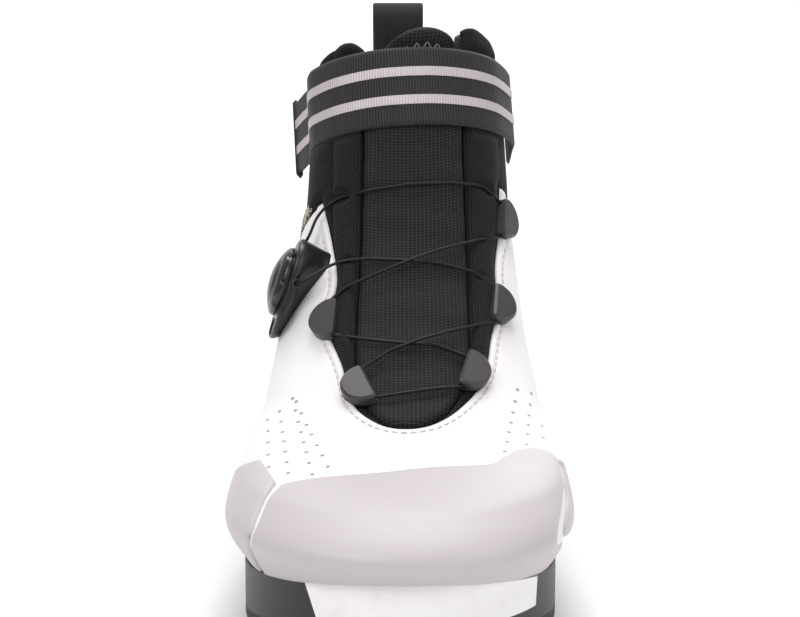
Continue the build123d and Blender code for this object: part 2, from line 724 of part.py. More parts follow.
def crossing(*places):
    """Corners of a lace run over the instep at places (x, z, lift)."""
    return [(over(*place), INSTEP_BEND_R) for place in places]


INSTEP_BEND_R = 12.0
lace_route = [
    (DIAL.from_local_coords(Vector(-8.6, 6.6, 4.3)), 0),
    (DIAL.from_local_coords(Vector(-6.0, 14.5, 4.0)), 8),
    (DIAL.from_local_coords(Vector(-3.6, 19.0, 3.0)), 5),
    *crossing((-29.5, 128, 1.6), (-13, 133, 1.6), (2, 135.3, 1.7), (17, 135.8, 1.7), (29, 134.5, 1.8)),
    *guide_turn("guide_medial_top", True),
    *crossing((27, 114.5, 2.2), (14, 111.5, 3.0), (2, 107.3, 3.6), (-10, 102.5, 3.0), (-20, 98.5, 2.4)),
    *guide_turn("guide_lateral_mid", True),
    *crossing((-13, 82.5, 1.8), (-1, 81.5, 1.8), (11, 80.8, 1.8)),
    *guide_turn("guide_medial_low", True),
    *crossing((9, 67.8, 2.0), (-3, 66.4, 2.0)),
    *guide_turn("guide_lateral_low", False),
    *crossing((-5, 78.6, 2.6), (6, 81.6, 4.0), (17, 84.6, 2.8)),
    *guide_turn("guide_medial_mid", False),
    *crossing((25, 103.6, 1.7), (13, 106.9, 1.7), (0, 108.2, 1.7), (-13, 108.6, 1.7), (-23.5, 107.3, 1.8)),
    (DIAL.from_local_coords(Vector(15.0, 0.5, 2.8)), 3),
    (DIAL.from_local_coords(Vector(11.1, 0.0, 4.3)), 0),
]
lace_path = rounded_path(lace_route)


def cord(radius):
    with BuildPart() as body:
        with BuildSketch(Plane(origin=lace_path @ 0, z_dir=lace_path % 0)):
            Circle(radius)
        sweep(path=lace_path)
    return body.part


lace = cord(LACE_R)
export(lace, "lace_cable")
lace_bore = cord(LACE_R + 0.3)

boot_form = form(-0.05)


def guide(name):
    """Half-moon lace guide lying on the skin with its straight side towards the throat."""
    away = away_from_throat(name)
    with BuildPart() as body:
        with BuildSketch(GUIDES[name].offset(-3)):
            with Locations((0, -GUIDE_SHIFT * away)):
                Circle(GUIDE_R)
            with Locations((0, -(GUIDE_FLAT + GUIDE_R) * away)):
                Rectangle(3 * GUIDE_R, 2 * GUIDE_R, mode=Mode.SUBTRACT)
            fillet(vertices(), 1.5)
        extrude(amount=3 + GUIDE_T)
        chamfer(faces().sort_by(Axis(GUIDES[name].origin, GUIDES[name].z_dir))[-1].edges(), 0.8)
        add(boot_form, mode=Mode.SUBTRACT)
        add(lace_bore, mode=Mode.SUBTRACT)
    return body.part


for name in GUIDES:
    export(guide(name), name)

# Dial parts
with BuildPart() as dial_base:
    with BuildSketch(DIAL.offset(-14)):
        with Locations((0, -BASE_DROP)):
            RectangleRounded(BASE_W, BASE_L, 12)
    extrude(amount=14 + BASE_TOP)
    chamfer(faces().sort_by(Axis(DIAL.origin, DIAL.z_dir))[-1].edges(), 1.0)
    add(boot_form, mode=Mode.SUBTRACT)
    disc(CHAMBER_R, CHAMBER_FLOOR, BASE_TOP + 1, Mode.SUBTRACT)
    with BuildSketch(DIAL.offset(BASE_TOP)):
        with Locations((0, CLIP_Y)):
            RectangleRounded(11, 6.4, 1.5)
    extrude(amount=-3, mode=Mode.SUBTRACT)
    add(lace_bore, mode=Mode.SUBTRACT)
    disc(PIVOT_R + 0.02, -14, BASE_TOP, Mode.SUBTRACT)
export(dial_base.part, "dial_base")

with BuildPart() as dial_clip:
    with BuildSketch(DIAL.offset(BASE_TOP - 2.95)):
        with Locations((0, CLIP_Y)):
            RectangleRounded(10.6, 6.0, 1.3)
    extrude(amount=1.2)
    with BuildSketch(DIAL.offset(BASE_TOP - 1.75)):
        with Locations((-2.6, CLIP_Y), (2.6, CLIP_Y)):
            Rectangle(2, 4.4)
    extrude(amount=1.1)
export(dial_clip.part, "dial_clip")

with BuildPart() as dial_ring:
    disc(RING_R, BASE_TOP + 0.05, RING_TOP)
    disc(CHAMBER_R, BASE_TOP, RING_TOP + 1, Mode.SUBTRACT)
export(dial_ring.part, "dial_ring")

with BuildPart() as dial_spool:
    disc(SPOOL_R, SPOOL_FROM, SPOOL_FROM + SPOOL_FLANGE)
    disc(SPOOL_CORE_R, SPOOL_FROM, SPOOL_TOP)
    disc(SPOOL_R, SPOOL_TOP - SPOOL_FLANGE, SPOOL_TOP)
    disc(HUB_R, SPOOL_TOP, HUB_TOP)
    disc(DRIVE_R, HUB_TOP, DRIVE_TOP)
    disc(PIVOT_R + 0.3, SPOOL_FROM - 1, DRIVE_TOP + 1, Mode.SUBTRACT)
export(dial_spool.part, "dial_spool")

with BuildPart() as lace_winding:
    disc(SPOOL_CORE_R + 2.4, SPOOL_FROM + SPOOL_FLANGE + 0.05, SPOOL_TOP - SPOOL_FLANGE - 0.05)
    disc(SPOOL_CORE_R + 0.05, SPOOL_FROM, SPOOL_TOP, Mode.SUBTRACT)
export(lace_winding.part, "lace_winding")

with BuildPart() as dial_screw:
    disc(PIVOT_R, 0.1, DRIVE_TOP + 0.3)
    disc(SCREW_HEAD_R, DRIVE_TOP + 0.3, DRIVE_TOP + 0.3 + SCREW_HEAD_T)
    with BuildSketch(DIAL.offset(DRIVE_TOP + 0.3 + SCREW_HEAD_T)):
        Rectangle(4.4, 0.9)
        Rectangle(0.9, 4.4)
    extrude(amount=-0.9, mode=Mode.SUBTRACT)
export(dial_screw.part, "dial_screw")

with BuildPart() as dial_knob:
    disc(KNOB_R, KNOB_FROM, KNOB_TOP)
    fillet(faces().sort_by(Axis(DIAL.origin, DIAL.z_dir))[-1].edges(), 4.0)
    with Locations(DIAL.offset(KNOB_FROM)):
        with PolarLocations(KNOB_R + 0.3, GRIP_COUNT):
            Cylinder(GRIP_R, 3.0, align=(Align.CENTER, Align.CENTER, Align.MIN), mode=Mode.SUBTRACT)
    disc(KNOB_HOLLOW_R, KNOB_FROM, KNOB_FLOOR, Mode.SUBTRACT)
    disc(KNOB_BORE_R, KNOB_FROM, KNOB_CEILING, Mode.SUBTRACT)
    disc(CAP_R + 0.05, KNOB_TOP - CAP_T, KNOB_TOP + 1, Mode.SUBTRACT)
export(dial_knob.part, "dial_knob")

with BuildPart() as dial_cap:
    disc(CAP_R, KNOB_TOP - CAP_T + 0.05, KNOB_TOP + 0.5)
    fillet(faces().sort_by(Axis(DIAL.origin, DIAL.z_dir))[-1].edges(), 0.5)
export(dial_cap.part, "dial_cap")

# ---------------------------------------------------------------- ankle strap
STRAP_ORIGIN = Vector(0, 163 - TOE_TO_ORIGIN, 171.8)
STRAP_PLANE = Plane(origin=STRAP_ORIGIN, x_dir=(1, 0, STRAP_ROLL), z_dir=(-STRAP_ROLL, STRAP_LEAN, 1))
STRAP_LATERAL = (0.965, 0.86, 0.68, 0.43, 0.15)
STRAP_MEDIAL = (0.2, 0.45, 0.68, 0.86, 0.965)
STRAP_ROOT_X = 40.6  # the medial side of the collar band, where the strap is sewn down
STRAP_SEAM, STRAP_SEAM_GAP, ANCHOR_END = 37.0, 3.0, 66.5


def strap_point(side, share, lift):
    """Point of the strap's plane above the front of the skin, in the plane's own coordinates."""
    z = STRAP_ORIGIN.Z
    for _ in range(6):
        point = skin_point(z, side, share)
        z = STRAP_ORIGIN.Z + STRAP_ROLL * point.X - STRAP_LEAN * (point.Y - STRAP_ORIGIN.Y)
    local = STRAP_PLANE.to_local_coords(above_skin(z, side, share, lift))
    return (local.X, local.Y)


def strap_line(lift):
    """The strap's run at one lift above the skin, from its flared lateral end to its medial root."""
    lateral_end = [(-43.0 - lift, 60.0), (-38.8 - lift, 48.0), (-36.2 - lift, 40.5)]
    return (
        lateral_end
        + [strap_point(-1, share, lift) for share in STRAP_LATERAL]
        + [strap_point(1, share, lift) for share in STRAP_MEDIAL]
        + [(STRAP_ROOT_X + lift, STRAP_SEAM)]
    )


def strap_layer(low, high, up=0.0, width=STRAP_W):
    with BuildPart() as body:
        with BuildSketch(STRAP_PLANE.offset(up - width / 2)):
            with BuildLine():
                inner, outer = Spline(*strap_line(low)), Spline(*strap_line(high))
                Line(inner @ 0, outer @ 0)
                Line(inner @ 1, outer @ 1)
            make_face()
        extrude(amount=width)
    return body.part


strap = strap_layer(STRAP_CLEAR, STRAP_CLEAR + STRAP_T)
export(strap, "ankle_strap")

with BuildPart() as stripes:
    for up in (-5.4, 5.6):
        add(strap_layer(STRAP_CLEAR + STRAP_T + 0.05, STRAP_CLEAR + STRAP_T + 0.35, up, 3.6))
    # The stripes stop short of the seam, so the strap can fold back over it.
    with Locations((STRAP_ROOT_X, STRAP_ORIGIN.Y + STRAP_SEAM, 150)):
        Box(20, 9, 100, mode=Mode.SUBTRACT)
export(stripes.part, "reflective_stripes")

# The strap's lateral end is folded into a stiff pull tab.
TAB_L, TAB_T, TAB_H = 3.4, 2.6, 33.0
flare = Vector(*strap_line(STRAP_CLEAR + STRAP_T / 2)[0])
with BuildPart() as strap_tab:
    with BuildSketch(STRAP_PLANE.offset(-TAB_H / 2)):
        with Locations((flare.X - 0.3, flare.Y + TAB_L / 2 + 0.1)):
            RectangleRounded(TAB_T, TAB_L, 1)
    extrude(amount=TAB_H)
export(strap_tab.part, "strap_tab")

# Hook tape inside the strap's lateral end and loop tape on the collar band facing it.
HOOK_T = 0.7
with BuildPart() as strap_hook:
    add(strap_layer(STRAP_CLEAR - 0.05 - HOOK_T, STRAP_CLEAR - 0.05, 0, 24))
    with Locations((-SIDE_REACH / 2, 64, 150)):
        Box(SIDE_REACH, 16, 100, mode=Mode.INTERSECT)
export(strap_hook.part, "strap_hook")

TAPE_SIDE = ((204, 145.6), (222, 144), (222, 170), (204, 173.6))
with BuildPart() as strap_loop:
    add(layer(-0.6, 0.1))
    add(seen_from_side(TAPE_SIDE, -SIDE_REACH, 0), mode=Mode.INTERSECT)
export(strap_loop.part, "strap_loop")

# The strap's medial root is sewn down behind its hinge line.
ANCHOR_START = STRAP_SEAM + STRAP_SEAM_GAP
with BuildPart() as strap_anchor:
    with BuildSketch(STRAP_PLANE.offset(-STRAP_W / 2)):
        with Locations((STRAP_ROOT_X + STRAP_CLEAR + STRAP_T / 2, (ANCHOR_START + ANCHOR_END) / 2)):
            Rectangle(STRAP_T, ANCHOR_END - ANCHOR_START)
    extrude(amount=STRAP_W)
export(strap_anchor.part, "strap_anchor")

# ---------------------------------------------------------------- pull loop at the heel
LOOP_X = -2.0
LOOP_FRONT = ((287.9, 187.2), (287.8, 192), (283.4, 200), (280.6, 207))
LOOP_OUTER = (*LOOP_FRONT, (285, 213), (291, 210), (291.8, 200), (290.9, 187.2))
LOOP_INNER = ((289.4, 190), (286.6, 197), (282.6, 205), (285.4, 211.4), (289.7, 208), (290.4, 197))
with BuildPart() as pull_loop:
    with BuildSketch(Plane.YZ.offset(LOOP_X - LOOP_W / 2)):
        with BuildLine():
            edge = Spline(*[(s - TOE_TO_ORIGIN, z) for s, z in LOOP_OUTER])
            Line(edge @ 0, edge @ 1)
        make_face()
        with BuildLine():
            Spline(*[(s - TOE_TO_ORIGIN, z) for s, z in LOOP_INNER], periodic=True)
        make_face(mode=Mode.SUBTRACT)
    extrude(amount=LOOP_W)
export(pull_loop.part, "pull_loop")

with BuildPart() as loop_anchor:
    with Locations((LOOP_X, 140, 185.8)):
        Box(LOOP_W + 1, 40, 34, align=(Align.CENTER, Align.CENTER, Align.MAX))
    add(form(-2.9), mode=Mode.INTERSECT)
    add(form(-0.3), mode=Mode.SUBTRACT)
export(loop_anchor.part, "loop_anchor")
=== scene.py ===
"""Looks of the cross country ski boot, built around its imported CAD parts.

Lengths in this script are millimetres until a mesh is made, where they become metres.
The soft pieces are patches of one surface, the outer skin of the boot, cut to their outlines.
A place on the skin is (q, z): q runs from 0 at the toe's middle line to -1 at the widest place of the
lateral side and -2 at the heel, or to +1 and +2 round the medial side, and z is the height.
A station is the distance behind the toe tip.
"""

import bmesh
import bpy
import numpy as np
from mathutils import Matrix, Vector, noise
from mathutils.kdtree import KDTree


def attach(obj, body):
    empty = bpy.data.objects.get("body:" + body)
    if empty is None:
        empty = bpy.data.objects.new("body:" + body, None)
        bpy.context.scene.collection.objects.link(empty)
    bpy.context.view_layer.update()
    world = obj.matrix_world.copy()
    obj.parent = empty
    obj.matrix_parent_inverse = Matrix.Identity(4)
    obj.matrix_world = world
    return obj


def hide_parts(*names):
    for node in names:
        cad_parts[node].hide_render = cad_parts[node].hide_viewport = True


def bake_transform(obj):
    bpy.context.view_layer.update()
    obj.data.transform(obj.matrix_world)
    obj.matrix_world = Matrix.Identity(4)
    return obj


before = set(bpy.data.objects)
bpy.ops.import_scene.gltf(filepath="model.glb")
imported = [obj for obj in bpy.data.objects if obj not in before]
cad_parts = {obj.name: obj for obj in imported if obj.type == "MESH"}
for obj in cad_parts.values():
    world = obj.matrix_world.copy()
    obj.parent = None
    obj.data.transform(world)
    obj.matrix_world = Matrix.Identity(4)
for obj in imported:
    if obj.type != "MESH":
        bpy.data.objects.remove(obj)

MM = 0.001
TOE_TO_ORIGIN = 150.0

# ---------------------------------------------------------------- the skin of the boot
# Height, then stations of the front, the widest place and the heel, then the lateral, medial and heel half
# widths, then how square the front and the back of the outline are.
LEVELS = np.array(
    (
        (18, 14, 84, 290, 47, 45, 29, 2.5, 7),
        (26, 5, 84, 295, 52.5, 50, 33, 2.6, 7),
        (36, 0, 82, 298, 57, 54, 36, 2.7, 7),
        (46, 13, 90, 298.5, 54.5, 52.5, 37, 2.6, 7),
        (53, 44, 102, 298, 52, 50.5, 37.5, 2.3, 6.5),
        (60, 77, 118, 297, 49.5, 48.5, 38, 2.1, 6),
        (67, 91, 126, 295.5, 48.5, 47.5, 38, 2.0, 5.5),
        (76, 102, 136, 293.5, 47, 46, 38, 2.0, 5),
        (95, 122, 155, 289, 43.5, 44, 37.5, 2.0, 4),
        (120, 142, 176, 285.5, 39, 42, 36, 2.0, 3.2),
        (145, 154, 187, 284, 36.5, 40.5, 34, 2.0, 2.8),
        (170, 163, 197, 285, 35, 38, 33, 2.0, 2.6),
        (198, 173, 207, 288, 31.5, 35, 31, 2.0, 2.6),
    ),
    float,
)
HEIGHTS = LEVELS[:, 0]


def level_slopes():
    """Slope of every measure at every level, such that no curve overshoots."""
    steps = np.diff(LEVELS[:, 1:], axis=0) / np.diff(HEIGHTS)[:, None]
    before, after = steps[:-1], steps[1:]
    rising = before * after > 0
    both = np.where(rising, before + after, 1)
    inner = np.where(rising, 2 * before * after / both, 0)
    return np.vstack([steps[:1], inner, steps[-1:]])


SLOPES = level_slopes()


def level(z):
    """The eight measures of the outline at heights z."""
    i = np.clip(np.searchsorted(HEIGHTS, z, "right") - 1, 0, len(HEIGHTS) - 2)
    h = (HEIGHTS[i + 1] - HEIGHTS[i])[:, None]
    t = ((z - HEIGHTS[i]) / h[:, 0])[:, None]
    start, leave = 2 * t**3 - 3 * t**2 + 1, (t**3 - 2 * t**2 + t) * h
    end, arrive = 3 * t**2 - 2 * t**3, (t**3 - t**2) * h
    rows = LEVELS[:, 1:]
    return (start * rows[i] + leave * SLOPES[i] + end * rows[i + 1] + arrive * SLOPES[i + 1]).T


def skin_base(q, z):
    q = (q + 2) % 4 - 2
    front, widest, heel, lateral, medial, heel_w, front_n, back_n = level(z)
    width = np.where(q < 0, lateral, medial)
    side = np.sign(q)
    ahead = np.abs(q) <= 1
    turn = np.clip(np.abs(q), 0, 1) * np.pi / 2
    back = np.clip(np.abs(q) - 1, 0, 1)
    a_front = np.abs(np.cos(turn)) ** (2 / front_n)
    a_back = 2 * back - back**2
    wide = width + (heel_w - width) * a_back**2 * (3 - 2 * a_back)
    x_back = wide * np.sqrt(np.clip(1 - a_back**back_n, 0, 1))
    x = side * np.where(ahead, width * np.sin(turn), x_back)
    s = np.where(ahead, widest - a_front * (widest - front), widest + a_back * (heel - widest))
    return np.stack([x, s - TOE_TO_ORIGIN, z], axis=1)


def skin_normal(q, z):
    dq, dz = 2e-3, 0.2
    along = skin_base(q + dq, z) - skin_base(q - dq, z)
    up = skin_base(q, z + dz) - skin_base(q, z - dz)
    n = np.cross(along, up)
    return n / np.maximum(np.linalg.norm(n, axis=1, keepdims=True), 1e-9)


def skin(q, z, lift=0.0):
    """Points lift above the skin."""
    q, z = np.atleast_1d(np.asarray(q, float)), np.atleast_1d(np.asarray(z, float))
    return skin_base(q, z) + skin_normal(q, z) * np.reshape(lift, (-1, 1))


def q_of(x, z):
    """The q of the front of the skin at distance x from the middle."""
    _, _, _, lateral, medial, *_ = level(np.atleast_1d(np.asarray(z, float)))
    share = np.clip(x / np.where(np.asarray(x) < 0, lateral, medial), -1, 1)
    return np.arcsin(share) * 2 / np.pi


def height_where(x, measure, value, low=34.0, high=196.0):
    """Height at which measure(points) of the front of the skin, x from the middle, reaches value."""
    low, high = np.full(len(x), low), np.full(len(x), high)
    for _ in range(34):
        z = (low + high) / 2
        under = measure(skin_base(q_of(x, z), z)) < value
        low, high = np.where(under, z, low), np.where(under, high, z)
    return (low + high) / 2


# ---------------------------------------------------------------- outlines and distances
def smooth_line(points, steps=10):
    """Smooth line through points, by cubic segments whose slopes come from the neighbours."""
    p = np.array(points, float)
    out = []
    for i in range(len(p) - 1):
        a, b, c, d = p[max(i - 1, 0)], p[i], p[i + 1], p[min(i + 2, len(p) - 1)]
        t = np.linspace(0, 1, steps, endpoint=False)[:, None]
        square, cube = 2 * a - 5 * b + 4 * c - d, 3 * b - a - 3 * c + d
        out.append(0.5 * (2 * b + (c - a) * t + square * t**2 + cube * t**3))
    out.append(p[-1:])
    return np.vstack(out)


def distance_to_line(points, line):
    """Distance of 2-D points from a polyline."""
    best = np.full(len(points), 1e9)
    for a, b in zip(line[:-1], line[1:]):
        d = b - a
        t = np.clip(((points - a) @ d) / max(d @ d, 1e-12), 0, 1)
        best = np.minimum(best, np.hypot(*(points - a - t[:, None] * d).T))
    return best


def signed_distance(points, line):
    """Distance of 2-D points from a closed polygon, positive inside."""
    closed = np.vstack([line, line[:1]])
    inside = np.zeros(len(points), bool)
    for (x0, y0), (x1, y1) in zip(closed[:-1], closed[1:]):
        crosses = (y0 > points[:, 1]) != (y1 > points[:, 1])
        at = x0 + (points[:, 1] - y0) * (x1 - x0) / (y1 - y0 if y1 != y0 else 1e-9)
        inside ^= crosses & (points[:, 0] < at)
    return distance_to_line(points, closed) * np.where(inside, 1, -1)


INSTEP_DOWN = np.radians(40)


def instep_view(p):
    """Points seen square to the instep: distance from the middle, height up the slope."""
    return np.stack([p[:, 0], p[:, 2] * np.cos(INSTEP_DOWN) + station(p) * np.sin(INSTEP_DOWN)], axis=1)


def instep_depth(p):
    return station(p) * np.cos(INSTEP_DOWN) - p[:, 2] * np.sin(INSTEP_DOWN)


def station(p):
    return p[:, 1] + TOE_TO_ORIGIN


def side_view(p):
    return np.stack([station(p), p[:, 2]], axis=1)


def plan_view(p):
    return np.stack([p[:, 0], station(p)], axis=1)


FEATHER = smooth_line(((-8, 33), (20, 26.5), (50, 22), (95, 19.5), (180, 23.5), (240, 27), (308, 31)))


def above_feather(p):
    return p[:, 2] - np.interp(station(p), FEATHER[:, 0], FEATHER[:, 1])


THROAT_LATERAL = ((-31.5, 203), (-27, 182), (-24.5, 163), (-27.5, 145), (-21.5, 125), (-17.5, 108))
THROAT_FOOT = ((-9, 97.5), (0, 94), (10, 97))
THROAT_MEDIAL = ((20, 107), (28, 121), (31.5, 140), (34.5, 156), (34.5, 173), (36.5, 190), (38, 212))
THROAT_EDGE = smooth_line((*THROAT_LATERAL, *THROAT_FOOT, *THROAT_MEDIAL))
THROAT = np.vstack([THROAT_EDGE, ((38, 330), (-31.5, 330))])
TONGUE_LATERAL = ((-15.5, 240), (-16, 180), (-17, 135), (-15, 112), (-8, 99.5), (0, 96.5))
TONGUE_MEDIAL = ((9, 99), (17, 108), (23, 128), (24, 180), (23, 240))
TONGUE_EDGE = smooth_line((*TONGUE_LATERAL, *TONGUE_MEDIAL))
TONGUE = np.vstack([TONGUE_EDGE, ((23, 330), (-15.5, 330))])
VIEW_FAR = 75.0


def in_view(p, polygon):
    """Signed distance from a figure drawn on the instep, negative behind the leg."""
    return np.where(instep_depth(p) < VIEW_FAR, signed_distance(instep_view(p), polygon), -50.0)


QUARTER_BACK = ((232, 98), (258, 106), (280, 121), (320, 130))
LATERAL_PEAK = ((60, 240), (140, 165), (156, 134), (161, 128.5), (166, 121.5), (174, 112), (186, 104.5))
MEDIAL_PEAK = ((60, 240), (146, 165), (160, 139), (166, 134.5), (172, 132), (184, 118))
LATERAL_TOP = smooth_line((*LATERAL_PEAK, (203, 100), *QUARTER_BACK))
MEDIAL_TOP = smooth_line((*MEDIAL_PEAK, (203, 104), *QUARTER_BACK))


def above_quarter(p):
    """Distance over the top line of the quarters, positive above it."""
    view = side_view(p)
    signed = []
    for line in (LATERAL_TOP, MEDIAL_TOP):
        polygon = np.vstack([line, ((320, 400), (60, 400))])
        signed.append(signed_distance(view, polygon))
    return np.where(p[:, 0] < 0, signed[0], signed[1])


def in_throat(p):
    return in_view(p, THROAT)


def beside_throat(p):
    return -in_throat(p)


def below_quarter(p):
    return -above_quarter(p)


def in_tongue(p):
    return in_view(p, TONGUE)


LATERAL_LOBE = ((-60, 172), (-38, 175), (-31, 184), (-21, 189.5), (-13, 184), (-6, 176))
MEDIAL_LOBE = ((13, 179), (18, 189), (26, 195.5), (34, 191), (41, 181), (60, 176))
LOBES = smooth_line((*LATERAL_LOBE, *MEDIAL_LOBE))
COLLAR_BACK = smooth_line(((180, 176), (206, 177), (235, 177), (262, 183), (285, 190), (305, 192)))
TONGUE_TOP = smooth_line(((-20, 176), (-13, 181), (-6, 189), (6, 195), (17, 192.5), (28, 178)))


def below_collar(p):
    front = np.interp(p[:, 0], LOBES[:, 0], LOBES[:, 1])
    back = np.interp(station(p), COLLAR_BACK[:, 0], COLLAR_BACK[:, 1])
    share = np.clip((station(p) - 192) / 16, 0, 1)
    return front * (1 - share) + back * share - p[:, 2]


def soft_step(t):
    t = np.clip(t, 0, 1)
    return t * t * (3 - 2 * t)


def edge_round(distance, radius):
    """How far a rounded edge has risen at a distance from its border, from 0 to 1."""
    t = np.clip(distance / radius, 0, 1)
    return np.sqrt(np.clip(1 - (1 - t) ** 2, 0, 1))


def wander(p, size, seed=0.0):
    """Smooth random values between about -1 and 1 over features of a size in millimetres."""
    return np.array([noise.noise(Vector((x / size + seed, y / size, z / size))) for x, y, z in p])


# ---------------------------------------------------------------- patches of the skin
class Patch:
    """Part of the skin as a grid that can be cut. Each corner is (q, z, u, v), u and v in mm."""

    def __init__(self, q_from, q_to, z_from, z_to, columns, rows):
        q = np.linspace(q_from, q_to, columns)
        fine = np.linspace(z_from, z_to, 400)
        run = np.abs(np.diff(level(fine)[0])) + np.abs(np.diff(fine))
        total = np.concatenate([[0], np.cumsum(run)])
        z = np.interp(np.linspace(0, total[-1], rows), total, fine)
        qq, zz = np.meshgrid(q, z)
        p = skin(qq.ravel(), zz.ravel()).reshape(rows, columns, 3)
        steps_along = np.linalg.norm(np.diff(p, axis=1), axis=2)
        steps_up = np.linalg.norm(np.diff(p, axis=0), axis=2)
        u = np.concatenate([np.zeros((rows, 1)), np.cumsum(steps_along, axis=1)], axis=1)
        middle = np.argmin(np.abs(q))
        u -= u[:, middle : middle + 1]
        v = np.concatenate([np.zeros((1, columns)), np.cumsum(steps_up, axis=0)])
        self.corners = np.stack([qq.ravel(), zz.ravel(), u.ravel(), v.ravel()], axis=1)
        at = np.arange(rows * columns).reshape(rows, columns)
        squares = np.stack([at[:-1, :-1], at[:-1, 1:], at[1:, 1:], at[1:, :-1]], axis=-1)
        self.faces = squares.reshape(-1, 4).tolist()

    def points(self, lift=0.0):
        return skin(self.corners[:, 0], self.corners[:, 1], lift)

    def keep(self, measure):
        """Cuts away everything where measure(points) is below zero."""
        d = measure(self.points())
        corners, made, faces = self.corners.tolist(), {}, []

        def between(i, j):
            key = (min(i, j), max(i, j))
            if key not in made:
                t = d[i] / (d[i] - d[j])
                corners.append((self.corners[i] * (1 - t) + self.corners[j] * t).tolist())
                made[key] = len(corners) - 1
            return made[key]

        for face in self.faces:
            signs = [d[i] >= 0 for i in face]
            if all(signs):
                faces.append(face)
            elif any(signs):
                cut = []
                for i, j in zip(face, face[1:] + face[:1]):
                    if d[i] >= 0:
                        cut.append(i)
                    if (d[i] >= 0) != (d[j] >= 0):
                        cut.append(between(i, j))
                faces.append(cut)
        used = sorted({i for face in faces for i in face})
        renumber = {old: new for new, old in enumerate(used)}
        self.corners = np.array(corners)[used]
        self.faces = [[renumber[i] for i in face] for face in faces]

    def border_distance(self, *measures):
        """Distance in from the border set by measures, smallest of them at each corner."""
        p = self.points()
        return np.min([np.abs(m(p)) for m in measures], axis=0)


def cut(patch, *measures):
    """Cuts a patch along measures and gives every corner's distance from the new border."""
    for measure in measures:
        patch.keep(measure)
    return patch.border_distance(*measures)


def add_mesh(name, points, faces, uv=None, material=None):
    """Mesh object from points in millimetres, with uv in millimetres at each point."""
    mesh = bpy.data.meshes.new(name)
    mesh.from_pydata((np.asarray(points) * MM).tolist(), [], faces)
    if uv is not None:
        layer = mesh.uv_layers.new(name="UVMap")
        corner = np.empty(len(mesh.loops), np.int32)
        mesh.loops.foreach_get("vertex_index", corner)
        layer.data.foreach_set("uv", (np.asarray(uv)[corner] * MM).ravel().astype(np.float32))
    tidy = bmesh.new()
    tidy.from_mesh(mesh)
    bmesh.ops.remove_doubles(tidy, verts=tidy.verts, dist=1e-5)
    bmesh.ops.recalc_face_normals(tidy, faces=tidy.faces)
    tidy.to_mesh(mesh)
    tidy.free()
    mesh.shade_smooth()
    piece = bpy.data.objects.new(name, mesh)
    bpy.context.collection.objects.link(piece)
    if material:
        mesh.materials.append(material)
    return piece


def pillow(name, patch, outer, inner, border, radius, material, seat=0.5):
    """Closed piece over a patch: its outer and inner faces lie at those lifts and meet in a round edge,
    which is at share seat of the way from the inner to the outer face."""
    rise = edge_round(border, radius)
    middle = inner + (outer - inner) * seat
    top = patch.points(middle + (outer - middle) * rise)
    under = patch.points(middle + (inner - middle) * rise)
    count = len(patch.corners)
    faces = patch.faces + [[i + count for i in reversed(face)] for face in patch.faces]
    uv = np.vstack([patch.corners[:, 2:4]] * 2)
    return add_mesh(name, np.vstack([top, under]), faces, uv, material)


